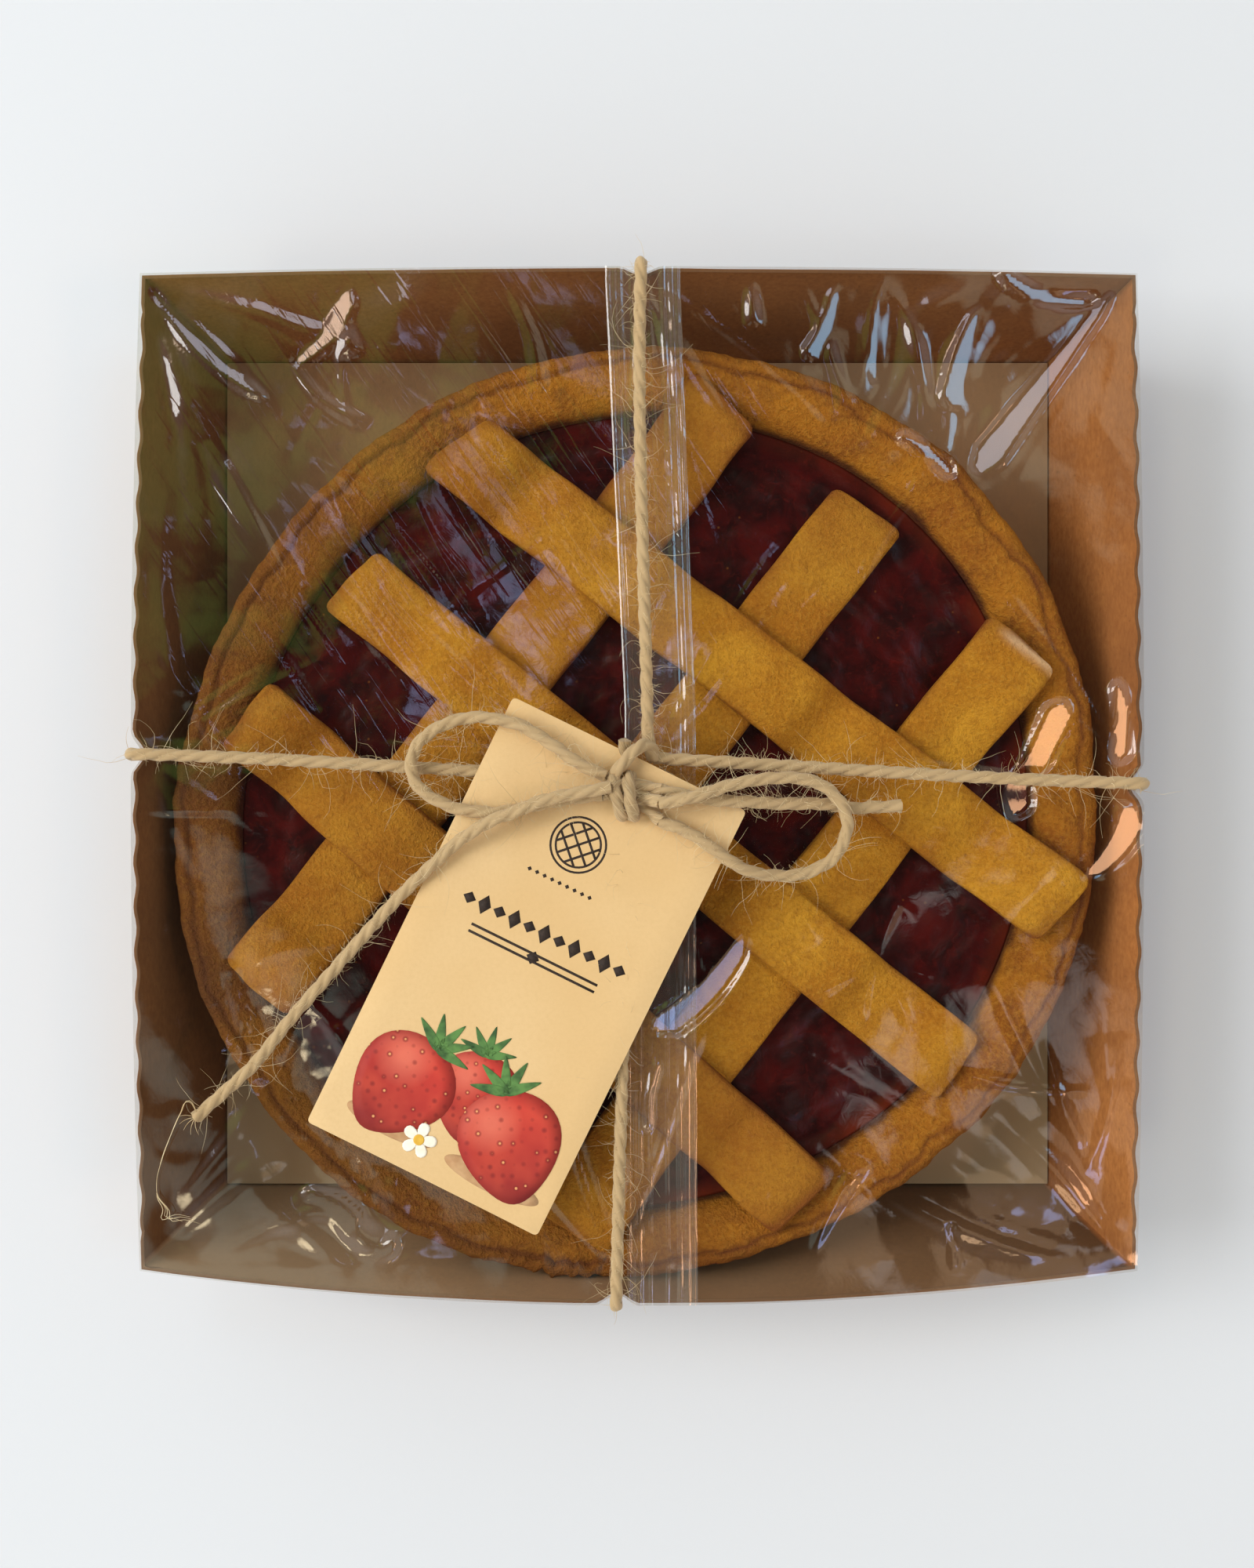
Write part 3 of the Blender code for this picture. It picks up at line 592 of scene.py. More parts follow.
def make_walls(board):
    """The folded walls as one ring of board, with two waved rims."""
    bm = bmesh.new()
    cut, painted_shade, painted_veil = float_layers(bm, "cut_edge", "painted_shade", "painted_veil")
    for outset in (0.0, -WALL_BOARD):
        for vert, side, along, row in wall_grid(bm, WALL_STEPS, len(WALL_LEVELS) - 1):
            z = WALL_LEVELS[row]
            place = wall_point(side, along, z, outset)
            if side in ("left", "right") and abs(place.y - TRAY_Y) < WAVE_HALF_LENGTH:
                dip = WAVE_HEIGHT * (0.5 - 0.5 * math.cos(math.tau * (place.y - TRAY_Y) / WAVE_PITCH))
                place.z -= dip * (z / TRAY_HEIGHT) ** 6
            if z < BASE_THICK and abs(along - twine_place(side)) * RIM_HALF < NOTCH_HALF:
                place.z = max(place.z, PAD_HEIGHT)
            place.z += 0.12 * noise.noise(place / 9) * z / TRAY_HEIGHT
            push = 0.25 * noise.noise(Vector((place.x, place.y, place.z * 2)) / 34) * z / TRAY_HEIGHT
            place += Vector((place.x - TRAY_X, place.y - TRAY_Y, 0)).normalized() * push
            vert.co = place
            # Inside the tray: painted shade, most on the left wall and none on the right, which faces the
            # key, and a painted veil, a painted reflection, on the front wall's left end; outside the board
            # is all one tone
            tones = {"front": 0.5 + 0.34 * along, "right": 0.0, "back": 0.4 - 0.03 * along, "left": 0.64}
            vert[painted_veil] = 0.35 * (1 - along) if outset < 0 and side == "front" else 0.0
            vert[painted_shade] = tones[side] if outset < 0 else 0.12
    bmesh.ops.remove_doubles(bm, verts=bm.verts, dist=0.001)
    for top in (False, True):
        loop = [e for e in bm.edges if e.is_boundary and (e.verts[0].co.z > TRAY_HEIGHT / 2) == top]
        rim = set(bmesh.ops.bridge_loops(bm, edges=loop)["faces"])
    corners = [e for face in rim for e in face.edges if not rim.issuperset(e.link_faces)]
    bmesh.ops.bevel(
        bm, geom=corners, offset=RIM_ROUND, offset_type="OFFSET", segments=2, profile=0.5, affect="EDGES",
        material=-1,
    )
    for vert in bm.verts:
        vert[cut] = 0.0
    lowest = TRAY_HEIGHT - WAVE_HEIGHT - WALL_BOARD
    for face in [f for f in bm.faces if f.normal.z > 0.6 and f.calc_center_median().z > lowest]:
        for vert in face.verts:
            vert[cut] = 0.7
    bmesh.ops.recalc_face_normals(bm, faces=bm.faces)
    finish_piece(new_piece("tray_walls", bm, board, 40), "tray_board", "tray")


def make_base(board):
    """The base with its two grooves, as a plate on four pads."""
    half = flare_at(BASE_THICK) - BOARD - 0.05
    bm = bmesh.new()
    painted_veil, painted_shade = float_layers(bm, "painted_veil", "painted_shade")
    for vert, column, row in grid_of(bm, PLATE_CELLS, PLATE_CELLS):
        x, y = half * (2 * column / PLATE_CELLS - 1), half * (2 * row / PLATE_CELLS - 1)
        z = BASE_THICK + 0.1 * noise.noise(Vector((x, y, 0)) / 28)
        vert.co = (TRAY_X + x, TRAY_Y + y, z)
        # A painted veil, a painted reflection, pales the floor's front half, and painted shade darkens its
        # back half
        vert[painted_veil] = 1.0 if y < 0 else 0.4 if x > 0 else 0.28
        vert[painted_shade] = 0.0 if y < 0 else 0.5 if x > 0 else 0.4
    thicken_down(bm, PLATE_THICK)
    foot = FOOT_HALF - BOARD - 0.1
    for x0, x1 in ((TRAY_X - foot, CROSS_X - GROOVE_HALF), (CROSS_X + GROOVE_HALF, TRAY_X + foot)):
        for y0, y1 in ((TRAY_Y - foot, CROSS_Y - GROOVE_HALF), (CROSS_Y + GROOVE_HALF, TRAY_Y + foot)):
            pad = bmesh.ops.create_cube(bm, size=1)["verts"]
            bmesh.ops.scale(bm, vec=(x1 - x0, y1 - y0, PAD_HEIGHT), verts=pad)
            middle = ((x0 + x1) / 2, (y0 + y1) / 2, PAD_HEIGHT / 2 + PAD_LIFT)
            bmesh.ops.translate(bm, vec=middle, verts=pad)
    finish_piece(new_piece("tray_base", bm, board, 40), "tray_board", "tray")


# The pie


def pie_scale(angle):
    swell = 0
    for count, size, at in PIE_HARMONICS:
        swell += size * math.cos(count * (angle - math.radians(at)))
    return 1 + swell / PIE_RADIUS


def pie_place(reach, angle, height):
    return PIE_X + reach * math.cos(angle), PIE_Y + reach * math.sin(angle), height


def ragged(angle):
    """How broken the crust's outer edge is at this angle: most at the front, a little to its left."""
    gap = math.degrees(abs((angle - math.radians(-101) + math.pi) % math.tau - math.pi))
    return math.exp(-((gap / 9.0) ** 2))


# Radius and height in millimetres, from the crust's foot over its crest into the cavity
CRUST_PROFILE = (
    (0, 4.2), (60, 4.2), (92, 4.2), (94.9, 4.3), (96.6, 5.2), (98.6, 8.8), (101.5, 16.0), (104.0, 21.5),
    (106.4, 26.8), (107.4, 28.3), (108.2, 29.6), (108.9, 30.6), (109.3, 31.6), (109.7, 32.5), (109.8, 33.4),
    (109.7, 34.3), (109.3, 35.0), (108.7, 35.5), (108.1, 35.8), (107.4, 35.9), (106.8, 35.85), (106.2, 35.6),
    (105.6, 35.4), (105.0, 35.3), (104.3, 35.2), (103.6, 35.05), (102.9, 34.9), (102.0, 34.65),
    (101.2, 34.45), (100.4, 34.15), (99.6, 33.85), (98.8, 33.5), (98.0, 33.1), (97.3, 32.6), (96.7, 32.0),
    (96.1, 31.2), (95.6, 30.2), (95.2, 29.2), (94.9, 28.2), (94.6, 27.2), (94.0, 26.0), (60, 25.6),
    (0, 25.6),
)
CRUST_STEPS = 800
JAM_EDGE = 94.9
JAM_TOP = 27.8
JAM_FOOT = 25.0
JAM_RINGS = 150
JAM_STEPS = 300


def make_crust(material):
    bm = bmesh.new()
    toast, stain, painted_left_shade = float_layers(bm, "toast", "jam_stain", "painted_left_shade")
    spin_profile(bm, CRUST_PROFILE, CRUST_STEPS)
    bmesh.ops.recalc_face_normals(bm, faces=bm.faces)
    for vert in bm.verts:
        radius, height = math.hypot(vert.co.x, vert.co.y), vert.co.z
        angle = math.atan2(vert.co.y, vert.co.x)
        flat = Vector((math.cos(angle), math.sin(angle), 0)) * PIE_RADIUS
        outer = eased((radius - 94) / 6)
        high = eased((height - 24) / 8) * outer
        slow = noise.noise(flat / 16 + Vector((0, 0, height / 40)))
        quick = noise.noise(flat / 5.5 + Vector((0, 0, height / 9)))
        fine = noise.noise(Vector((vert.co.x, vert.co.y, height)) / 1.7)
        push = outer * (0.6 * slow + 0.5 * quick + 0.2 * fine)
        lift = high * (0.5 * slow + 0.4 * quick + 0.16 * fine)
        broken = ragged(angle) * eased((height - 22) / 6) * eased((radius - 103) / 4)
        if broken > 0.01:
            crumb = noise.noise(flat / 2.6 + Vector((7, 0, height / 7))) + 0.6 * noise.noise(flat / 1.2)
            push += broken * 1.5 * crumb
            lift -= broken * (0.9 + 0.9 * crumb)
        wander = 1.6 * slow + 0.6 * quick
        crack = math.exp(-(((radius - 106.3 - wander) / 0.5) ** 2)) * eased((height - 33) / 1.5)
        lift -= crack * (0.5 + 0.9 * max(0.0, noise.noise(flat / 11 + Vector((3, 3, 3)))))
        vert.co = pie_place(radius * pie_scale(angle) + push, angle, height + lift)
        brown = eased((radius - 103) / 5) * eased((height - 20) / 8)
        # Toast is mostly the crest's browning; its crack share is painted shade in the crack
        vert[toast] = min(1.0, 0.42 * brown * (0.8 + 0.9 * slow) + 0.6 * crack + 0.35 * broken)
        wet = eased((31.6 + 1.2 * quick - height) / 2.4) * eased((96.8 - radius) / 1.4)
        vert[stain] = 0.85 * wet
        # Painted shade on the crust's left side, where the tray's left wall shades it
        vert[painted_left_shade] = 0.6 * eased(math.cos(angle - math.radians(-164)) + 0.1) * (0.9 + 0.5 * slow)
    finish_piece(new_piece("pie_crust", bm, material), "crust", "crust")


def make_jam(material):
    """The jam's uneven top, which climbs a little where it meets the crust."""
    profile = [(JAM_EDGE * i / JAM_RINGS, JAM_TOP) for i in range(JAM_RINGS + 1)]
    profile += [(JAM_EDGE - 0.2, JAM_FOOT), (0, JAM_FOOT)]
    bm = bmesh.new()
    spin_profile(bm, profile, JAM_STEPS)
    (thin_edge_painted_light,) = float_layers(bm, "thin_edge_painted_light")
    for vert in bm.verts:
        radius, height = math.hypot(vert.co.x, vert.co.y), vert.co.z
        angle = math.atan2(vert.co.y, vert.co.x)
        # The thin edge is painted lighter, most on the right: painted light glowing through the jam
        lit = eased(math.cos(angle + 0.3) + 0.4)
        vert[thin_edge_painted_light] = 0.6 * lit * eased((radius - 90) / 5) * (0.6 + 0.8 * noise.noise(vert.co / 12))
        if height > 27:
            place = Vector((vert.co.x, vert.co.y, 0))
            lumps = 0.55 * noise.noise(place / 13) + 0.4 * noise.noise(place / 5.5 + Vector((5, 1, 0)))
            lumps += 0.16 * noise.noise(place / 2.2)
            climb = 0.9 * eased((radius - 89) / 6)
            height += lumps * (1 - 0.6 * eased((radius - 88) / 6)) + climb - 0.35
        vert.co = pie_place(radius * pie_scale(angle), angle, height)
    bmesh.ops.recalc_face_normals(bm, faces=bm.faces)
    finish_piece(new_piece("jam_filling", bm, material), "jam", "jam")


# Each strip's heading in degrees, its distance from the pie's middle, its two ends, its width and how much
# further its left edge reaches at either end
STRIPS = {
    "strip_upper_1": (-37.6, 43.2, -87.0, 93.4, 19.2, 2.6, 0.4),
    "strip_upper_2": (-38.8, 0.8, -88.7, 97.0, 18.4, 0.6, -0.8),
    "strip_upper_3": (-41.3, -43.0, -84.7, 89.8, 19.4, -1.0, 0.6),
    "strip_lower_1": (-128.6, -44.3, -89.1, 88.0, 19.6, 0.8, 0.6),
    "strip_lower_2": (-128.5, -1.6, -91.6, 95.0, 19.6, -0.6, 0.8),
    "strip_lower_3": (-127.6, 47.5, -87.3, 87.1, 19.8, 0.8, -0.8),
}
STRIP_THICK = 3.6
STRIP_CORNER = 2.4
STRIP_CELLS = (170, 28)
# Strips baked browner than the others
BROWNED = {"strip_upper_3": 0.25, "strip_lower_1": 0.22, "strip_lower_2": 0.1}


def cad_surface(name):
    """A node's surface, to be felt from above."""
    bm = bmesh.new()
    bm.from_mesh(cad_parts[name].data)
    tree = BVHTree.FromBMesh(bm)
    bm.free()
    return tree


def make_strip(name, facts, material):
    """A cut band of dough that lies as its solid does, with a soft edge and a slightly wavering cut."""
    heading, offset, start, end, width, start_skew, end_skew = facts
    cosine, sine = math.cos(math.radians(heading)), math.sin(math.radians(heading))
    surface = cad_surface(name)

    def place_of(along, across):
        x = PIE_X + along * cosine - (offset + across) * sine
        y = PIE_Y + along * sine + (offset + across) * cosine
        return x, y

    columns, rows = STRIP_CELLS
    tops = []
    for i in range(columns + 1):
        along = start + (end - start) * i / columns
        inner = min(max(along, start + 1.6), end - 1.6)
        x, y = place_of(inner, 0)
        hit = surface.ray_cast(Vector((x * MM, y * MM, 0.1)), Vector((0, 0, -1)))[0]
        tops.append(hit.z / MM)
    for _ in range(3):
        tops = [tops[0], *[(a + 2 * b + c) / 4 for a, b, c in zip(tops, tops[1:], tops[2:])], tops[-1]]
    seed = Vector((7.3 * len(name), heading, offset)) / 3
    bm = bmesh.new()
    toast, painted_lip_highlight = float_layers(bm, "toast", "painted_lip_highlight")
    for vert, column, row in grid_of(bm, columns, rows):
        u, v = column / columns, 2 * row / rows - 1
        along = start + (end - start) * u
        near_end = abs(2 * u - 1)
        side = 1 if v > 0 else -1
        waver = 0.35 * noise.noise(Vector((along / 14, side * 3, 0)) + seed) * abs(v) ** 3
        slant = 0.7 * noise.noise(Vector((v * 1.3, 0, u * 9)) + seed) * near_end**12
        across = v * width / 2 + side * waver
        ended = eased((near_end - 0.8) / 0.2)
        slant += v * ended * (start_skew if u < 0.5 else end_skew)
        # Rounded corners
        over = max(0.0, (abs(across) - width / 2 + STRIP_CORNER) / STRIP_CORNER)
        slant += ended * 1.6 * (1 - math.sqrt(max(0.0, 1 - min(1.0, over) ** 2))) * (1 if u < 0.5 else -1)
        x, y = place_of(along + slant, across)
        puff = 0.3 * noise.noise(Vector((x, y, 0)) / 9 + seed) + 0.14 * noise.noise(Vector((x, y, 4)) / 3)
        dome = -0.8 * abs(v) ** 6
        droop = -0.9 * eased((near_end - 0.95) / 0.05)
        curl = 0.0
        if name == "strip_lower_3" and u < 0.5:
            curl = math.exp(-(((along + slant - start - 1.2) / 1.1) ** 2)) * eased((v + 0.8) / 0.6)
        vert.co = (x, y, tops[column] + puff + dome + droop * (1 - curl) + 1.3 * curl * (0.8 + puff))
        # The curled lip gets a painted highlight
        vert[painted_lip_highlight] = 0.8 * curl
        blotch = 0.5 + noise.noise(Vector((x, y, 9)) / 11)
        baked = BROWNED.get(name, 0.0) + 0.25 * eased((abs(y + 5) - 35) / 40) + 0.7 * abs(v) ** 7 * blotch
        vert[toast] = min(1.0, baked + 0.6 * eased((near_end - 0.95) / 0.05) * blotch)
    thicken_down(bm, STRIP_THICK)
    strip = new_piece(name.replace("strip", "dough"), bm, material, 50)
    soften_edges(strip, 0.6, 3)
    finish_piece(strip, "lattice", name)


# The twine


def smooth_route(points, step=ROPE_STEP):
    """Evenly spaced points on a smooth curve through the given ones."""
    points = [Vector(p) for p in points]
    runs = [b - a for a, b in zip(points, points[1:])]
    tangents = [runs[0].normalized()]
    for a, b in zip(runs, runs[1:]):
        tangents.append((a.normalized() * b.length + b.normalized() * a.length).normalized())
    tangents.append(runs[-1].normalized())
    fine = [points[0]]
    for i, run in enumerate(runs):
        size = run.length
        count = max(2, round(size / 0.4))
        for k in range(1, count + 1):
            t = k / count
            a, b = (1 + 2 * t) * (1 - t) ** 2, t * t * (3 - 2 * t)
            c, d = t * (1 - t) ** 2, t * t * (t - 1)
            fine.append(points[i] * a + points[i + 1] * b + (tangents[i] * c + tangents[i + 1] * d) * size)
    spans = np.array([(b - a).length for a, b in zip(fine, fine[1:])])
    reach = np.concatenate([[0], np.cumsum(spans)])
    wanted = np.linspace(0, reach[-1], max(3, round(reach[-1] / step)) + 1)
    table = np.array([list(p) for p in fine])
    even = np.stack([np.interp(wanted, reach, table[:, axis]) for axis in range(3)], axis=1)
    return [Vector(p) for p in even]


def route_length(route):
    return sum((b - a).length for a, b in zip(route, route[1:]))


def wall_descent(side):
    """The twine's way over a rim, down the wall and under its foot, as distances out and heights."""
    place = twine_place(side)
    rim = wall_out(side, place, TRAY_HEIGHT) + GAP + FILM
    foot_z = TWINE_FOOT + TWINE_BEND
    foot = wall_out(side, place, foot_z) + 1.5 * GAP + FILM
    top = TRAY_HEIGHT + GAP + FILM
    way = [(rim - 2 * TWINE, top + TWINE_BEND)]
    for turn in (90, 60, 30, 0):
        a = math.radians(turn)
        way.append((rim + TWINE_BEND * math.cos(a), top + TWINE_BEND * math.sin(a)))
    way += [(wall_out(side, place, z) + TWINE_CLEAR + GAP, z) for z in DESCENT_LEVELS]
    for turn in (0, -30, -60, -90):
        a = math.radians(turn)
        way.append((foot + TWINE_BEND * math.cos(a), foot_z + TWINE_BEND * math.sin(a)))
    way.append((foot - 2 * TWINE, TWINE_FOOT))
    return way


def side_points(side):
    """The descent in places, on the straight line between two opposite crossings."""
    near, far = CROSSING[side], CROSSING[OPPOSITE[side]]
    points = []
    for out, z in wall_descent(side):
        level = far + (near - far) * (1 + out / RIM_HALF) / 2
        if side in ("left", "right"):
            points.append((TRAY_X + (out if side == "right" else -out), level, z))
        else:
            points.append((level, TRAY_Y + (out if side == "back" else -out), z))
    return points


def transported(route):
    """Two directions square to the route at each point, which turn no more than they must."""
    ahead = (route[1] - route[0]).normalized()
    first = ahead.orthogonal().normalized()
    frames = []
    for i in range(len(route)):
        a, b = route[max(0, i - 1)], route[min(len(route) - 1, i + 1)]
        ahead = (b - a).normalized()
        first = (first - ahead * first.dot(ahead)).normalized()
        frames.append((first, ahead.cross(first)))
    return frames


def lay_rope(bm, route, radius, phase=0.0, flared=(0.0, 0.0)):
    """One three-strand rope: a grid rolled round the route, its grooves turning with the lay."""
    frames = transported(route)
    count = len(route) - 1
    span = route_length(route) / count
    made = grid_of(bm, count, ROPE_SIDES)
    seed = Vector((phase * 3, phase, 1))
    for vert, i, j in made:
        strand = math.tau * (j % ROPE_SIDES) / ROPE_SIDES
        turn = strand - math.tau * i * span / ROPE_LAY + phase
        lobe = abs(math.cos(1.5 * strand)) ** 0.75
        uneven = 1 + 0.06 * noise.noise(Vector((i * span / 5, strand, 0)) + seed)
        end = max(flared[0] * eased(1 - i * span / 2.0), flared[1] * eased(1 - (count - i) * span / 2.0))
        size = radius * (1 - STRAND_GROOVE + STRAND_GROOVE * lobe) * uneven * (1 + end)
        first, second = frames[i]
        vert.co = route[i] + (first * math.cos(turn) + second * math.sin(turn)) * size
    layer = bm.loops.layers.uv.verify()
    length = span * count
    for face in {f for vert, _, _ in made for f in vert.link_faces}:
        for loop in face.loops:
            loop[layer].uv.x *= length
    bmesh.ops.remove_doubles(bm, verts=[v for v, _, _ in made], dist=0.0005)


def close_rope(name, bm, material):
    """Caps the ropes' ends and makes the piece."""
    bmesh.ops.holes_fill(bm, edges=[e for e in bm.edges if e.is_boundary], sides=0)
    bmesh.ops.recalc_face_normals(bm, faces=bm.faces)
    return new_piece(name, bm, material, 60)


# No fibre reaches above this height
FIBRE_TOP = 56.0


def fibre_lines(route, per_length, reach, floor, bends=6):
    """Loose fibres that spring from a rope: each a few points on a curling way out."""
    lines = []
    frames = transported(route)
    for _ in range(round(route_length(route) * per_length)):
        i = dice.randrange(1, len(route) - 1)
        ahead = (route[i + 1] - route[i - 1]).normalized()
        first, second = frames[i]
        turn = dice.uniform(0, math.tau)
        out = first * math.cos(turn) + second * math.sin(turn)
        length = reach * min(2.0, 0.25 + dice.expovariate(1.6))
        heading = (out + ahead * dice.uniform(-1.6, 1.6)).normalized()
        curl = Vector((dice.gauss(0, 1), dice.gauss(0, 1), dice.gauss(0, 0.5))) * 0.55
        place = route[i] + out * TWINE * 0.42
        line = [place.copy()]
        for _ in range(bends):
            sway = Vector((dice.gauss(0, 0.16), dice.gauss(0, 0.16), 0))
            heading = (heading + curl * 3 / bends + sway).normalized()
            place = place + heading * length / bends
            place.z = min(max(place.z, floor), FIBRE_TOP)
            line.append(place.copy())
        lines.append(line)
    return lines


def make_fibres(name, lines, material, radius=0.05):
    """Fibres as thin round tubes in one mesh."""
    curve = bpy.data.curves.new(name, "CURVE")
    curve.dimensions = "3D"
    curve.bevel_depth = radius * MM
    curve.bevel_resolution = 0
    curve.use_fill_caps = True
    for line in lines:
        spline = curve.splines.new("POLY")
        spline.points.add(len(line) - 1)
        for k, (point, place) in enumerate(zip(spline.points, line)):
            point.co = (*(place * MM), 1)
            point.radius = 1.0 - 0.7 * k / (len(line) - 1)
    mesh = mesh_of(curve)
    mesh.materials.clear()
    mesh.materials.append(material)
    fibres = placed(name, mesh)
    finish_piece(fibres, "twine")
    return fibres


def run_routes():
    """Each run of twine by name, from the knot outwards where it starts there."""
    top = TRAY_HEIGHT + TWINE_CLEAR
    ends = {side: (x, y, top) for side, (x, y) in RUN_ENDS.items()}
    ways = {side: side_points(side) for side in SIDES}
    apart = TWINE + GAP
    return {
        "twine_across": [ends["left"], *ways["left"], *reversed(ways["right"]), ends["right"]],
        "twine_back": [ends["back"], *ways["back"], (CROSS_X, CROSS_Y + apart, TWINE_FOOT)],
        "twine_front": [ends["front"], *ways["front"], (CROSS_X, CROSS_Y - apart, TWINE_FOOT)],
        "bow_left": BOW_LEFT,
        "bow_right": BOW_RIGHT,
        "tail_long": TAIL_LONG,
        "tail_short": TAIL_SHORT,
    }


# The knot's turns: under the bow, slanting over it, and twice round its waist
KNOT_TURNS = (
    (
        (3.6, 6.2, 45.6), (3.4, 8.2, 46.8), (1.6, 9.3, 48.9), (-0.8, 7.8, 50.6), (-3.3, 5.0, 51.4),
        (-5.2, 2.4, 50.6), (-5.6, 0.8, 48.6),
    ),
    (
        (-4.4, 3.4, 48.8), (-5.3, 1.9, 51.0), (-5.0, -1.2, 52.5), (-4.1, -4.4, 52.1), (-3.4, -6.6, 49.9),
        (-2.6, -6.3, 47.9),
    ),
    (
        (-1.7, 2.4, 49.2), (-2.1, 1.2, 51.6), (-1.8, -2.0, 53.0), (-1.3, -5.0, 52.3), (-0.9, -6.9, 49.9),
        (-0.8, -6.3, 47.9),
    ),
    ((-2.4, 6.6, 47.2), (-3.0, 8.6, 48.2), (-2.9, 10.4, 48.8)),
    ((2.4, 11.4, 44.6), (2.8, 9.4, 45.4), (3.3, 7.4, 45.4), (3.8, 6.2, 44.7)),
    ((-6.8, 2.0, 50.9), (-4.0, 0.6, 49.8), (0.0, -2.0, 49.6), (5.2, -3.6, 52.6)),
    ((-7.8, -1.8, 50.2), (-3.0, -2.0, 49.4), (2.0, -4.8, 49.0), (5.4, -7.9, 50.2)),
    ((-6.2, -0.4, 53.2), (-3.0, 0.2, 50.6), (1.6, -0.2, 49.6), (5.4, -0.9, 50.4)),
)
KNOT_SWELL = 1.04  # the rope bulges a little in the knot's bends
LOOSE_FIBRE = (
    (-100.9, -74.6, 45.6), (-102.5, -72.0, 46.6), (-104.6, -75.0, 45.8), (-107.0, -80.0, 44.8),
    (-109.3, -86.0, 44.2), (-110.6, -91.0, 43.8), (-110.4, -94.6, 43.6), (-108.6, -97.6, 43.6),
    (-108.9, -99.0, 43.6), (-106.0, -98.6, 43.7), (-103.0, -99.2, 43.6),
)
# Fibres are laid where the rope runs above the first height, and stay above the second
FIBRE_FROM = 43.0
FIBRE_FLOOR = 43.3


def make_hairs(name, route, fibre):
    """Long loose fibres and a short nap along one stretch of rope."""
    return [
        make_fibres("fuzz_" + name, fibre_lines(route, 1.7, 6.5, FIBRE_FLOOR), fibre),
        make_fibres("nap_" + name, fibre_lines(route, 3.5, 1.5, FIBRE_FLOOR, 3), fibre),
    ]


def stray_fibres():
    """The long tail's frayed end: one long loose fibre, four that follow parts of it, and a short tuft."""
    way = smooth_route(LOOSE_FIBRE, 0.8)
    strays = [way, [p + Vector((0.3, 0.35, 0.2)) * math.sin(k / 5) for k, p in enumerate(way[:26])]]
    last = way[-16:]
    for bend in (0.5, -0.7, 1.1):
        strays.append([p + Vector((bend * k * 0.16, -abs(bend) * k * 0.1, 0)) for k, p in enumerate(last)])
    end = Vector(TAIL_LONG[-1])
    for turn in (150, 175, 200, 228, 255):
        a = math.radians(turn)
        strays.append([end + Vector((math.cos(a + k / 9), math.sin(a + k / 9), 0)) * k for k in range(5)])
    return strays


def make_knot(rope, fibre):
    """The knot and its fibres."""
    ways = [smooth_route(turn, 0.5) for turn in KNOT_TURNS]
    bm = bmesh.new()
    for k, way in enumerate(ways):
        lay_rope(bm, way, TWINE / 2 * KNOT_SWELL, 0.7 * k)
    knot = close_rope("jute_knot", bm, rope)
    finish_piece(knot, "twine", "knot")
    lines = []
    for way in ways:
        lines += fibre_lines(way, 2.0, 2.2, 46.0, 4)
    return [knot, make_fibres("fuzz_knot", lines, fibre)]


def make_twine(rope, fibre):
    """Each run as a rope with its fibres; the knot is made along with the run that passes through it."""
    routes = {name: smooth_route(points) for name, points in run_routes().items()}
    for number, (name, route) in enumerate(routes.items()):
        tail = name.startswith("tail")
        bm = bmesh.new()
        lay_rope(bm, route, TWINE / 2, 0.9 * number, (0.0, 0.14) if tail else (0.0, 0.0))
        piece = close_rope("jute_" + name.removeprefix("twine_"), bm, rope)
        finish_piece(piece, "twine", name)
        shown = [p for p in route if p.z > FIBRE_FROM]
        parts = [shown]
        if name == "twine_across":
            half = next(i for i, p in enumerate(shown) if p.x > 0)
            parts = [shown[:half], shown[half:]]
        with_pieces = []
        for k, part in enumerate(parts):
            with_pieces += make_hairs(f"{name}_{k}", part, fibre)
        if name == "tail_long":
            with_pieces.append(make_fibres("loose_fibre", stray_fibres(), fibre, 0.11))
        if name == "twine_across":
            with_pieces += make_knot(rope, fibre)


# The tag

TAG_FRAME = Matrix.Translation(TAG_MIDDLE) @ Euler(TAG_TURN).to_matrix().to_4x4()
INK_THICK = 0.015
PRINT_LIFT = TAG_THICK / 2 + 0.012
EMBLEM = (-1.4, 30.5)
BLOOM = (-4.5, -46.5)
# Each berry's middle, half-length and turn in degrees, the rearmost first
BERRIES = (((2.6, -31.6), 10.6, 10), ((-13.6, -36.6), 12.6, -20), ((14.6, -38.0), 12.9, 30))
# Each shadow's middle, half-width and squeeze
SHADOWS = (((-12.0, -46.2), 11.0, 0.26), ((14.5, -47.4), 12.0, 0.24))


def tag_curl(x, y):
    """The card's slight bend, in millimetres above its plane."""
    return 0.35 * (2 * x / TAG_WIDTH) ** 2 - 0.25 * (2 * y / TAG_LENGTH) ** 2 * (x / TAG_WIDTH + 0.5)


def put_on_tag(name, bm, lift, material):
    """Bends flat faces with the card and sets them on it, lifted above its middle plane."""
    for vert in bm.verts:
        x, y = vert.co.x, vert.co.y
        vert.co = TAG_FRAME @ Vector((x, y, lift + vert.co.z + tag_curl(x, y)))
    return new_piece(name, bm, material, 40)


def print_on_tag(name, bm, lift, material):
    """Prints flat faces on the card: a film of ink is thin, yet a closed body."""
    printed = put_on_tag(name, bm, lift, material)
    thicken_up(printed, INK_THICK)
    finish_piece(printed, "card")


def arc(middle, radius, turns):
    """Points round a middle at these turns, in radians."""
    return [(middle[0] + radius * math.cos(a), middle[1] + radius * math.sin(a)) for a in turns]


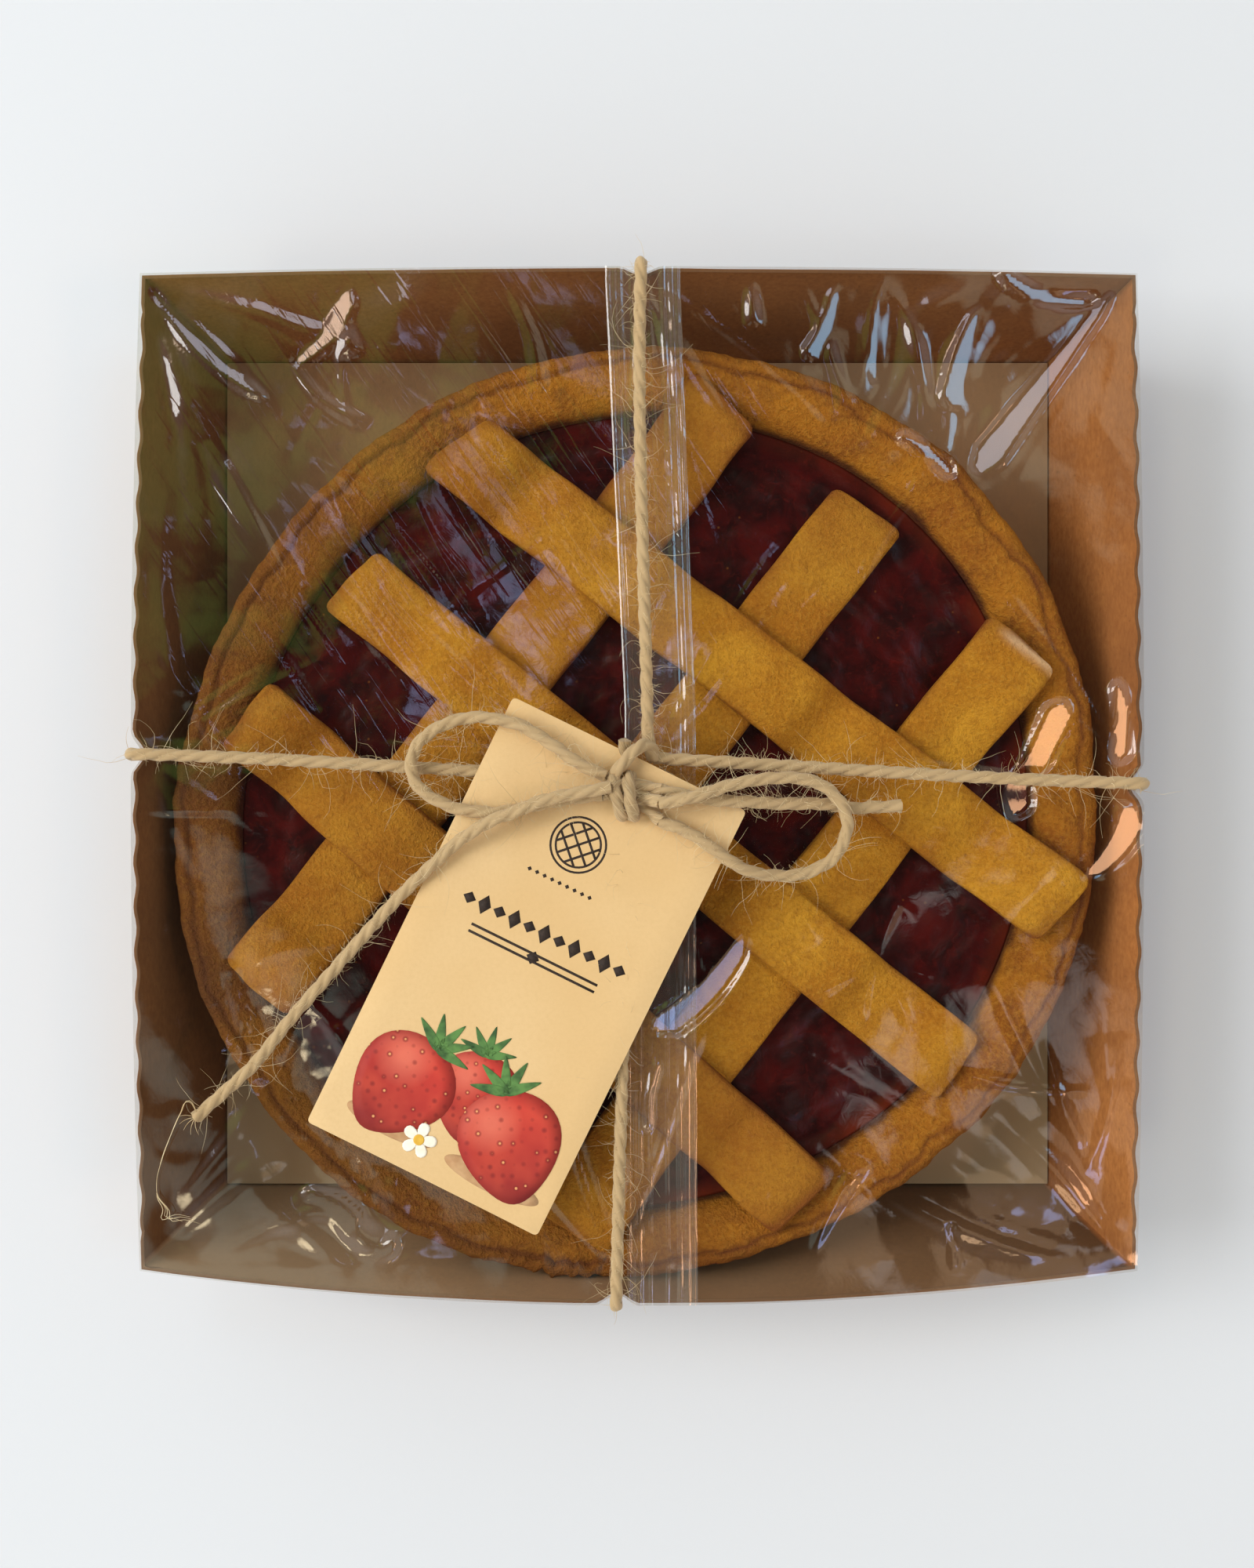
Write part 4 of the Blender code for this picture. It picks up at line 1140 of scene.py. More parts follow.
def make_card(material):
    outline = []
    for x, y, first in ((1, 1, 0), (-1, 1, 90), (-1, -1, 180), (1, -1, 270)):
        corner = (x * (TAG_WIDTH / 2 - TAG_CORNER), y * (TAG_LENGTH / 2 - TAG_CORNER))
        outline += arc(corner, TAG_CORNER, [math.radians(first + turn) for turn in (0, 30, 60, 90)])
    hole_middle = (0, TAG_LENGTH / 2 - TAG_HOLE_DROP)
    hole = arc(hole_middle, TAG_HOLE_RADIUS, [math.tau * i / 24 for i in range(24)])
    curve = bpy.data.curves.new("card", "CURVE")
    curve.dimensions = "2D"
    curve.fill_mode = "BOTH"
    for points in (outline, hole):
        spline = curve.splines.new("POLY")
        spline.points.add(len(points) - 1)
        for point, (x, y) in zip(spline.points, points):
            point.co = (x, y, 0, 1)
        spline.use_cyclic_u = True
    bm = bmesh.new()
    bm.from_mesh(mesh_of(curve))
    bmesh.ops.remove_doubles(bm, verts=bm.verts, dist=0.01)
    back = [f for f in bm.faces if f.normal.z <= 0]
    bmesh.ops.delete(bm, geom=back, context="FACES")
    for axis, half, cuts in ((0, TAG_WIDTH / 2, 10), (1, TAG_LENGTH / 2, 18)):
        for k in range(1, cuts):
            middle, normal = [0, 0, 0], [0, 0, 0]
            middle[axis], normal[axis] = half * (2 * k / cuts - 1), 1
            sheet = [*bm.verts, *bm.edges, *bm.faces]
            bmesh.ops.bisect_plane(bm, geom=sheet, plane_co=middle, plane_no=normal)
    bmesh.ops.triangulate(bm, faces=bm.faces)
    tag = put_on_tag("paper_tag", bm, -TAG_THICK / 2, material)
    thicken_up(tag, TAG_THICK)
    soften_edges(tag, 0.08, 2)
    finish_piece(tag, "card", "label")


def disc(bm, middle, size, turn, shape, sides=40):
    """A flat printed shape: a round grid reshaped by a rule, with its own map for what is printed in it."""
    made = []
    for vert, column, row in grid_of(bm, sides, 4):
        a = math.tau * column / sides
        vert.co = (math.cos(a) * (4 - row) / 4, math.sin(a) * (4 - row) / 4, 0)
        made.append(vert)
    layer = bm.loops.layers.uv.verify()
    cosine, sine = math.cos(math.radians(turn)), math.sin(math.radians(turn))
    flat = {v: shape(v.co.x, v.co.y) for v in made}
    for face in {f for v in made for f in v.link_faces}:
        for loop in face.loops:
            x, y = flat[loop.vert]
            loop[layer].uv = (x / 2 + 0.5, y / 2 + 0.5)
    for vert, (x, y) in flat.items():
        vert.co = (middle[0] + size * (x * cosine - y * sine), middle[1] + size * (x * sine + y * cosine), 0)
    bmesh.ops.remove_doubles(bm, verts=made, dist=0.0001)


def berry_shape(x, y):
    """A circle drawn out to a blunt point at its lower end."""
    taper = 1 - 0.36 * ((1 - y) / 2) ** 2
    return x * taper * (1.0 + 0.06 * y), y * 1.02 - 0.06


def leaf_shape(x, y):
    return x * 0.24 * (1 - 0.55 * y), y


def petal_shape(x, y):
    return x * 0.6 * (1 + 0.4 * y), y


def beyond(middle, turn, reach):
    """The place this far from a middle, along an upright line turned by so many degrees."""
    a = math.radians(turn)
    return middle[0] - reach * math.sin(a), middle[1] + reach * math.cos(a)


def sized(bm, verts, middle, width, height):
    bmesh.ops.scale(bm, vec=(width, height, 1), verts=verts)
    bmesh.ops.translate(bm, vec=(*middle, 0), verts=verts)
    return verts


def bar(bm, middle, width, height):
    made = bmesh.ops.create_grid(bm, x_segments=6, y_segments=1, size=0.5)["verts"]
    return sized(bm, made, middle, width, height)


def lozenge(bm, middle, width, height):
    made = bmesh.ops.create_circle(bm, cap_ends=True, segments=4, radius=0.5)["verts"]
    return sized(bm, made, middle, width, height)


def make_ornament():
    """A generic ornament in dark ink: a round lattice, dots, a row of lozenges and a double rule."""
    bm = bmesh.new()
    for radius in (6.6, 5.4):
        ring = []
        for r in (radius, radius - 0.5):
            made = bmesh.ops.create_circle(bm, cap_ends=False, segments=40, radius=r)["verts"]
            bmesh.ops.translate(bm, vec=(*EMBLEM, 0), verts=made)
            ring += list({e for v in made for e in v.link_edges})
        bmesh.ops.bridge_loops(bm, edges=ring)
    for k in range(-1, 2):
        reach = math.sqrt(5.0**2 - (2.6 * k) ** 2)
        for turn in (45, -45):
            made = bar(bm, (0, 2.6 * k), 2 * reach, 0.55)
            turned = Matrix.Rotation(math.radians(turn), 3, "Z")
            bmesh.ops.rotate(bm, cent=(0, 0, 0), matrix=turned, verts=made)
            bmesh.ops.translate(bm, vec=(*EMBLEM, 0), verts=made)
    for k in range(-4, 5):
        lozenge(bm, (-1.4 + 1.9 * k, 20.8), 1.1, 1.1)
    for k in range(-5, 6):
        lozenge(bm, (0.6 + 3.8 * k, 8.8), 3.2, 4.8 if k % 2 == 0 else 2.9)
    for y in (3.6, 1.9):
        bar(bm, (0.6, y), 32.0, 0.6)
    lozenge(bm, (0.6, 2.75), 3.2, 3.2)
    print_on_tag("tag_ornament", bm, PRINT_LIFT, ink_material())


def make_berries():
    """Printed berries with their leaves and shadows, and a blossom."""
    berry = berry_print_material()
    leaf = flat_print_material("printing_ink_leaf", "#2F5428", "#5B8A45")
    petal = flat_print_material("printing_ink_petal", "#F3EDDA", "#FFFBEE")
    heart = flat_print_material("printing_ink_heart", "#D8A52C", "#EBC250")
    painted_shade = flat_print_material("printing_ink_shade", "#B98E62", "#C9A276")
    bm = bmesh.new()
    for middle, size, squeeze in SHADOWS:
        disc(bm, middle, size, 0, lambda x, y, s=squeeze: (x, y * s))
    print_on_tag("tag_shadows", bm, PRINT_LIFT, painted_shade)
    for number, (middle, size, turn) in enumerate(BERRIES):
        lift = PRINT_LIFT + 0.03 * (number + 1)
        bm = bmesh.new()
        disc(bm, middle, size, turn, berry_shape)
        print_on_tag(f"tag_berry_{number}", bm, lift, berry)
        bm = bmesh.new()
        top = beyond(middle, turn, size * 0.92)
        for spread in (-78, -40, -4, 36, 74):
            disc(bm, beyond(top, turn + spread, size * 0.3), size * 0.36, turn + spread, leaf_shape, 16)
        print_on_tag(f"tag_leaves_{number}", bm, lift + 0.016, leaf)
    bm = bmesh.new()
    for k in range(5):
        disc(bm, beyond(BLOOM, 72 * k, 2.1), 2.1, 72 * k, petal_shape, 14)
    print_on_tag("tag_blossom", bm, PRINT_LIFT + 0.14, petal)
    bm = bmesh.new()
    disc(bm, BLOOM, 1.3, 0, lambda x, y: (x, y), 16)
    print_on_tag("tag_blossom_heart", bm, PRINT_LIFT + 0.16, heart)


# The film

FILM_CELLS = 300
FILM_TOP = TRAY_HEIGHT + 0.5
FILM_SAG = 2.7
FILM_FOOT = 0.3
FILM_OFF_WALL = 0.2
# The film stays below these heights, near the twine and under the tag
UNDER_TWINE = 42.75
UNDER_TAG = 43.0
SEAM_LIFT = 0.12
SEAM_TOP = 43.05
# One calm place at the back left: its middle and its turn in degrees
VEIL_X, VEIL_Y = -34.5, 57.5
VEIL_TURN = 59

# Soft folds that stand out in the film, from the tray's middle: where each starts, its heading in degrees
# and length, its half-width at both ends, its steepest slope and its bend
MAIN_FOLDS = (
    (-113, 112, -45, 42, 0.9, 1.7, 0.3, 1.5), (-102, 84, -64.5, 60, 1.0, 1.4, 0.42, 1.0),
    (-110, 100, -63, 66, 1.6, 5.0, 0.16, -2.0), (-112, 108, -80, 64, 1.8, 5.0, 0.15, 2.0),
    (-110, 64, -86, 46, 1.8, 4.4, 0.14, -2.0), (-112, 30, -64, 46, 1.4, 3.8, 0.14, 2.0),
    (-81, 96, -40, 24, 1.6, 2.6, 0.5, -2.5),
    (-67.6, 111, -88, 32, 0.8, 1.6, 0.32, -2.0), (-67.6, 104, -80, 8, 2.4, 3.6, 0.5, 0.0),
    (-30, 112, -74, 26, 1.4, 3.4, 0.32, 2.0), (38, 112, -70, 30, 1.4, 3.2, 0.36, 1.0),
    (58.6, 112, -76, 34, 1.6, 3.4, 0.42, 2.5), (26, 113, -86, 10, 2.0, 2.8, 0.6, 0.0),
    (104, 84, -62, 40, 1.4, 3.4, 0.07, 2.0), (112, -60, -104, 34, 0.9, 1.8, 0.3, 1.0),
    (-80, -98, -28, 28, 3.0, 6.0, 0.42, -1.0), (-112, -112, 38, 44, 2.0, 4.8, 0.16, 2.0),
    (-108, -100, 52, 50, 1.6, 3.8, 0.14, -2.0), (-98, -112, 20, 46, 1.6, 4.0, 0.18, 1.5),
    (112, -112, 132, 46, 2.0, 4.6, 0.2, -1.5), (108, -96, 118, 56, 1.6, 3.4, 0.18, 2.0),
    (96, -113, 158, 44, 1.6, 3.8, 0.18, 1.0), (40, -111, 60, 24, 1.6, 3.4, 0.4, 1.0),
    (55, -44, -152, 18, 0.9, 1.8, 0.2, 0.5), (55, -44, -104, 14, 0.9, 1.9, 0.22, -0.5),
    (55, -44, -62, 16, 0.9, 1.8, 0.22, 0.5), (55, -44, -14, 14, 0.9, 1.8, 0.2, 0.0),
    (55, -44, 68, 16, 0.9, 1.8, 0.2, 0.5), (55, -44, 128, 12, 0.9, 1.8, 0.2, 0.0),
    (104, -74, 172, 30, 1.2, 2.0, 0.36, 1.0), (94, -62, -70, 26, 1.2, 2.2, 0.3, -1.0),
    (-96, -44, -70, 26, 2.0, 4.2, 0.3, -1.0), (-78, -52, -58, 30, 1.8, 3.6, 0.3, 2.0),
)
# Flat-sided folds: start, heading, length, half-width and slope
FLAT_FOLDS = ((4, -66, -98, 18, 1.8, 0.4), (66, 70, -120, 30, 2.2, 0.2), (-24, 62, -58, 34, 2.4, 0.1))
# Flat places between creases: start, heading, length, half-widths at both ends, bend, and the light that
# each is turned to mirror
PLANES = (
    (86.6, -10.5, 66.1, 29.5, 3.4, 3.9, 0, "peach_panel"),
    (114.9, -8, -124.3, 20, 4.6, 2.2, 2, "peach_panel"),
    (110.4, 21, -86, 19, 1.8, 2.6, 0.8, "peach_panel"),
    (25.2, -38.3, -134.1, 30.6, 2.6, 4, 2.4, "front_glint_panel"),
    (109.4, 110.6, -127.1, 52, 1.3, 4.2, 0, "white_panel"),
    (72, -104, -80.9, 11, 0.6, 1.2, 0, "peach_panel"),
    (-112.5, 111.5, -44, 36, 1.2, 1.6, -2.5, "white_panel"),
    (-66.5, 111.5, -128, 22, 2.8, 1.9, 2.5, "rose_glow"),
    (78.5, 107, -104.6, 24, 1.4, 3.6, -1, "blue_glow"),
    (57, 114, -95, 24, 0.9, 1.8, -1.5, "blue_glow"),
    (73, 84, -98, 16, 2.0, 0.8, 0.5, "blue_glow"),
    (46, 112, -112, 18, 1.6, 2.6, 1, "blue_glow"),
    (106, 109, 165, 24, 1.6, 2.2, 2.5, "blue_glow"),
    (60, 78, -35, 16, 1.5, 2, 1, "blue_glow"),
    (-78, -97, -36, 16, 1.4, 3.6, 1.5, "gold_glow"),
    (-66, -112, 20, 11, 1, 2.4, -1.5, "gold_glow"),
)
# Flat facets between creases: each set's heading, pitch, height and shift
FACETS = (
    (12, 41, 0.9, 0.1), (58, 33, 0.8, 0.6), (103, 37, 0.8, 0.3), (147, 29, 0.7, 0.8), (81, 19, 0.35, 0.5),
    (170, 23, 0.4, 0.2), (35, 17, 0.3, 0.9),
)
# Rippled patches: middle, half-widths, heading of the waves, pitch and height
RIPPLES = ((66, 94, 19, 22, -20, 12.0, 0.46), (-68, -101, 16, 11, 40, 11.0, 0.6))


def film_folds():
    """The main folds, and seeded ones that fan from the corners, the crossings and the knot."""
    folds = [(x, y, math.radians(heading), *rest) for x, y, heading, *rest in MAIN_FOLDS]

    def scatter(count, start, heading, length, narrow, wide, slope, bend):
        """Adds folds whose starts and headings come from rules, and whose sizes are drawn from ranges."""
        for _ in range(count):
            turn = heading()
            x, y = start(turn)
            sign = dice.choice((1, 1, -1))
            sizes = [dice.uniform(*size) for size in (length, narrow, wide, slope)]
            folds.append((x, y, turn, *sizes[:3], sign * sizes[3], dice.uniform(-bend, bend)))

    def any_turn():
        return dice.uniform(0, math.tau)

    def over_left_jam(_):
        share = dice.random()
        return -88 + 56 * share, 34 + 46 * share

    half = RIM_HALF
    for cx, cy in ((-1, -1), (1, -1), (1, 1), (-1, 1)):
        inward = math.atan2(-cy, -cx)
        scatter(
            9, lambda a, cx=cx, cy=cy: (cx * half + 9 * math.cos(a), cy * half + 9 * math.sin(a)),
            lambda a=inward: a + math.radians(dice.uniform(-46, 46)),
            (30, 96), (1.3, 2.0), (2.6, 8.0), (0.03, 0.12), 4,
        )
    crossings = (
        (-half, CROSSING["left"] - TRAY_Y, 0), (half, CROSSING["right"] - TRAY_Y, 180),
        (CROSSING["back"] - TRAY_X, half, 270), (CROSSING["front"] - TRAY_X, -half, 90),
    )
    for x, y, inward in crossings:
        scatter(
            8, lambda _, x=x, y=y: (x, y), lambda a=inward: math.radians(a + dice.uniform(-66, 66)),
            (18, 66), (0.9, 1.2), (1.2, 2.6), (0.06, 0.22), 2,
        )
    scatter(
        18, lambda a: (12 * math.cos(a), 12 * math.sin(a) - 2), any_turn,
        (30, 90), (0.9, 1.2), (1.1, 2.4), (0.06, 0.2), 4,
    )
    scatter(
        20, lambda _: (dice.uniform(-half, half), dice.uniform(-half, half)), any_turn,
        (12, 50), (0.9, 1.6), (1.4, 4.0), (0.04, 0.13), 3,
    )
    # Stretch lines over the jam at the back left
    scatter(
        16, over_left_jam, lambda: math.radians(-56 + dice.uniform(-5, 5)),
        (18, 44), (0.8, 1.0), (1.0, 1.3), (0.3, 0.46), 1,
    )
    return folds


def beside_line(x, y, start, heading, length):
    """For places: how far along a line from its start, from 0 to 1, and the distance to its left."""
    dx, dy = x - start[0], y - start[1]
    share = np.clip((dx * math.cos(heading) + dy * math.sin(heading)) / length, 0, 1)
    return share, -dx * math.sin(heading) + dy * math.cos(heading)


def fold_heights(x, y, folds):
    """The sum of the folds at places: soft ridges that widen from their starts, and flat-sided ones."""
    height = np.zeros_like(x)
    for fx, fy, heading, length, narrow, wide, slope, bend in folds:
        share, across = beside_line(x, y, (fx, fy), heading, length)
        arch = np.sin(math.pi * share)
        half = narrow + (wide - narrow) * share
        crest = np.maximum(0, 1 - ((across - bend * arch) / half) ** 2) ** 2 * half / 1.54
        height += slope * crest * np.sqrt(arch)
    for fx, fy, heading, length, half, slope in FLAT_FOLDS:
        share, across = beside_line(x, y, (fx, fy), math.radians(heading), length)
        across = across + 0.4 * np.sin(7 * share + fx)
        crest = np.maximum(0, half * (0.7 + 0.3 * share) - np.sqrt(across**2 + 0.1))
        height += slope * crest * np.clip(3 * np.sin(math.pi * share), 0, 1)
    return height


def noise_over(x, y, size, seed):
    return np.array([noise.noise(Vector((a, b, seed)) / size) for a, b in zip(x, y)])


def bump_at(x, y, middle, wide, deep):
    """A soft hill of height 1 at places, with its half-widths along x and y."""
    return np.exp(-(((x - middle[0]) / wide) ** 2) - ((y - middle[1]) / deep) ** 2)


def mirror_slopes(x, y, light):
    """The slopes along x and y at which flat film at this place mirrors a light to the camera."""
    place = Vector((TRAY_X + x, TRAY_Y + y, TRAY_HEIGHT))
    if light in PANELS:
        toward = Vector(overhead(*PANELS[light][:2], PANEL_REACH / MM)) - place
    else:
        toward = Vector(overhead(*GLOWS[light][:2]))
    square = toward.normalized() + (Vector(CAMERA_PLACE) - place).normalized()
    return -square.x / square.z, -square.y / square.z


def drawn_flat(x, y, height):
    """The heights with each flat place drawn across its creases."""
    for px, py, heading, length, narrow, wide, bend, light in PLANES:
        a = math.radians(heading)
        share, across = beside_line(x, y, (px, py), a, length)
        arch = np.sin(math.pi * share)
        half = (narrow + (wide - narrow) * share) * np.sqrt(np.clip(3 * arch, 0, 1))
        inside = np.clip((half - abs(across - bend * arch)) / 0.8 + 0.5, 0, 1) * (share > 0) * (share < 1)
        mx, my = px + 0.5 * length * math.cos(a), py + 0.5 * length * math.sin(a)
        slope_x, slope_y = mirror_slopes(mx, my, light)
        level = height[np.argmin((x - mx) ** 2 + (y - my) ** 2)]
        plane = level + slope_x * (x - mx) + slope_y * (y - my)
        height += inside * inside * (3 - 2 * inside) * (plane - height)
    return height


def held_down(x, y, height):
    """The heights where the twine and the tag hold the film down; a soft limit keeps its slopes."""
    line_y = CROSSING["left"] + (CROSSING["right"] - CROSSING["left"]) * (x / RIM_HALF + 1) / 2 - TRAY_Y
    line_x = CROSSING["front"] + (CROSSING["back"] - CROSSING["front"]) * (y / RIM_HALF + 1) / 2 - TRAY_X
    near = np.minimum(abs(y - line_y), abs(x - line_x - 1.5))
    cap = UNDER_TWINE + np.clip((near - 3) / 10, 0, 1) * 2.8
    tx, ty = x + TRAY_X - TAG_MIDDLE[0], y + TRAY_Y - TAG_MIDDLE[1]
    turn = TAG_TURN[2]
    lx, ly = tx * math.cos(turn) + ty * math.sin(turn), -tx * math.sin(turn) + ty * math.cos(turn)
    under = (abs(lx) < TAG_WIDTH / 2 + 5) & (abs(ly) < TAG_LENGTH / 2 + 5)
    cap = np.where(under, np.minimum(cap, UNDER_TAG), cap)
    over = np.maximum(0, height - cap + 0.5)
    return np.where(over > 0, cap - 0.5 + 0.5 * np.tanh(over / 0.5), height)


def film_height(x, y, folds):
    """The film's height over the pack at places in millimetres from the tray's middle."""
    u, v = np.clip(x / RIM_HALF, -1, 1), np.clip(y / RIM_HALF, -1, 1)
    outward = np.maximum(abs(u), abs(v))
    # The bowed walls draw it out
    x = x * (1 + (np.where(x > 0, BOW["right"], BOW["left"]) * (1 - v * v) + FILM_OFF_WALL) / RIM_HALF)
    y = y * (1 + (np.where(y > 0, BOW["back"], BOW["front"]) * (1 - u * u) + FILM_OFF_WALL) / RIM_HALF)
    inner = (1 - u * u) * (1 - v * v)
    edge = np.clip((1 - outward) * 14, 0, 1)
    loose = 0.22 + 0.45 * outward**4 + 0.6 * abs(u * v) ** 1.6
    loose *= 1 - 0.7 * np.clip((u - 0.72) / 0.15, 0, 1) * np.clip((0.85 - abs(v)) / 0.15, 0, 1)
    # The calm place mirrors the room as a soft veil
    a = math.radians(VEIL_TURN)
    along = (x - VEIL_X) * math.cos(a) - (y - VEIL_Y) * math.sin(a)
    across = (x - VEIL_X) * math.sin(a) + (y - VEIL_Y) * math.cos(a)
    veil = np.exp(-((along / 26) ** 2) - (across / 13) ** 2)
    loose *= 1 - 0.9 * veil
    height = FILM_TOP - FILM_SAG * inner + fold_heights(x, y, folds) * edge
    # Beside the seam it leans away from the glows, so the jam shows clear
    height -= 0.08 * (y - 77) * bump_at(x, y, (-18, 77), 12, 14.5)
    soft = noise_over(x, y, 26, 2)
    sway = noise_over(x, y, 44, 60)
    for heading, pitch, tall, shift in FACETS:
        a = math.radians(heading)
        wave = (x * math.cos(a) + y * math.sin(a) + 9 * sway) / pitch + shift
        height += 0.7 * tall * loose * edge * (1 - 2 * abs(2 * (wave - np.floor(wave)) - 1)) * 0.5
    calm = (0.26 + 0.5 * outward**3) * (1 - 0.9 * veil)
    height += (calm * soft + 0.03 * noise_over(x, y, 4.2, 5)) * edge
    for px, py, wide, deep, heading, pitch, tall in RIPPLES:
        a = math.radians(heading)
        wave = (x * math.cos(a) + y * math.sin(a) + 7 * soft) / pitch
        height += tall * bump_at(x, y, (px, py), wide, deep) * np.sin(math.tau * wave) * edge
    height = drawn_flat(x, y, height)
    # It lies on the crust's crest at the front left
    px, py = x + TRAY_X - PIE_X, y + TRAY_Y - PIE_Y
    radius, angle = np.hypot(px, py), np.degrees(np.arctan2(py, px))
    window = np.exp(-(((angle + 142) / 26) ** 2))
    contact = window * np.exp(-(((radius - 103) / 12) ** 2)) * edge
    height -= contact * (3.3 + 0.2 * noise_over(x, y, 3.2, 90))
    return held_down(x, y, height)


def film_place(u, v, height):
    """A place on the film's top for u and v from -1 to 1; its edge follows the walls' rims."""
    side_x, side_y = ("right" if u > 0 else "left"), ("back" if v > 0 else "front")
    along_x = v if u > 0 else -v
    along_y = -u if v > 0 else u
    x = u * (wall_out(side_x, along_x, TRAY_HEIGHT) + FILM_OFF_WALL if abs(u) > 0.02 else RIM_HALF)
    y = v * (wall_out(side_y, along_y, TRAY_HEIGHT) + FILM_OFF_WALL if abs(v) > 0.02 else RIM_HALF)
    return Vector((TRAY_X + x, TRAY_Y + y, height))


def finish_film(name, bm, material):
    bmesh.ops.recalc_face_normals(bm, faces=bm.faces)
    finish_piece(new_piece(name, bm, material), "film", "film")


def make_film_top(folds, material):
    bm = bmesh.new()
    made = grid_of(bm, FILM_CELLS, FILM_CELLS)
    u = np.array([2 * column / FILM_CELLS - 1 for _, column, _ in made])
    v = np.array([2 * row / FILM_CELLS - 1 for _, _, row in made])
    heights = film_height(u * RIM_HALF, v * RIM_HALF, folds)
    for (vert, _, _), a, b, z in zip(made, u, v, heights):
        vert.co = film_place(a, b, z)
    finish_film("film_top", bm, material)


def make_film_skirt(material):
    """The film down the walls: slack pleats, fuller at the corners, drawn in where the twine crosses."""
    levels = 36
    bm = bmesh.new()
    for vert, side, along, row in wall_grid(bm, 150, levels):
        share = row / levels
        z = FILM_FOOT + (FILM_TOP - FILM_FOOT) * share
        lower = 1 - share
        pleat = abs(noise.noise(Vector((along * 16 + 40 * SIDES.index(side), z / 30, 3))))
        tuck = abs(noise.noise(Vector((along * 42, z / 50 + 9, SIDES.index(side)))))
        corner = eased((abs(along) - 0.72) / 0.28)
        slack = (0.3 + 1.1 * pleat + 0.5 * tuck + 0.8 * corner * lower) * eased(lower * 4)
        near = eased(1 - abs(along - twine_place(side)) * RIM_HALF / 9)
        vert.co = wall_point(side, along, min(z, TRAY_HEIGHT), FILM_OFF_WALL + slack * (1 - near))
        vert.co.z = z
    bmesh.ops.remove_doubles(bm, verts=bm.verts, dist=0.0005)
    finish_film("film_skirt", bm, material)


# The seam's edges: y, then x at its left and right
SEAM_EDGES = ((-115, -2.4, 14.0), (18, -2.9, 13.6), (115, -7.4, 10.0))
# Lengthwise creases: each one's place across the band, its reach and its height
SEAM_CREASES = (
    (0.04, 0.06, 0.42), (0.12, 0.05, 0.34), (0.19, 0.05, 0.26), (0.34, 0.03, 0.1), (0.58, 0.03, 0.1),
    (0.76, 0.05, 0.24), (0.87, 0.06, 0.34), (0.95, 0.04, 0.3),
)


def make_film_seam(folds, material):
    """The sealed band that lies on the film's top from back to front."""
    columns, rows = 64, 280
    stations, lefts, rights = zip(*SEAM_EDGES)
    bm = bmesh.new()
    made = grid_of(bm, columns, rows)
    places = []
    for _, column, row in made:
        y = TRAY_Y + RIM_HALF * (2 * row / rows - 1)
        left, right = np.interp(y, stations, lefts), np.interp(y, stations, rights)
        places.append((left + (right - left) * column / columns, y))
    across, along = np.array(places).T
    heights = film_height(across - TRAY_X, along - TRAY_Y, folds)
    for (vert, column, row), (x, y), z in zip(made, places, heights):
        rise = 0.0
        for k, (at, reach, tall) in enumerate(SEAM_CREASES):
            drift = 0.02 * noise.noise(Vector((y / 30, k * 5, 1)))
            rise += tall * max(0.0, 1 - abs(column / columns - at - drift) / reach)
        u, v = (x - TRAY_X) / RIM_HALF, (y - TRAY_Y) / RIM_HALF
        vert.co = film_place(u, v, min(z + SEAM_LIFT + rise, SEAM_TOP))
        vert.co.x = x
    finish_film("film_seam", bm, material)


# Floor, lights and camera


def overhead(heading, lean, reach=1.0):
    """A place at a heading and a lean from straight up, both in degrees."""
    a, b = math.radians(heading), math.radians(lean)
    return reach * math.sin(b) * math.cos(a), reach * math.sin(b) * math.sin(a), reach * math.cos(b)


def area_light(name, heading, lean, spread, brightness, tint):
    """A soft panel that faces the pack; its brightness doesn't depend on its size."""
    light = bpy.data.lights.new(name, "AREA")
    light.shape = "RECTANGLE"
    light.size, light.size_y = spread
    light.energy = brightness * math.pi * spread[0] * spread[1]
    light.color = colour(tint)[:3]
    panel = placed(name, light)
    panel.location = overhead(heading, lean, PANEL_REACH)
    panel.rotation_euler = (-panel.location).to_track_quat("-Z", "Y").to_euler()


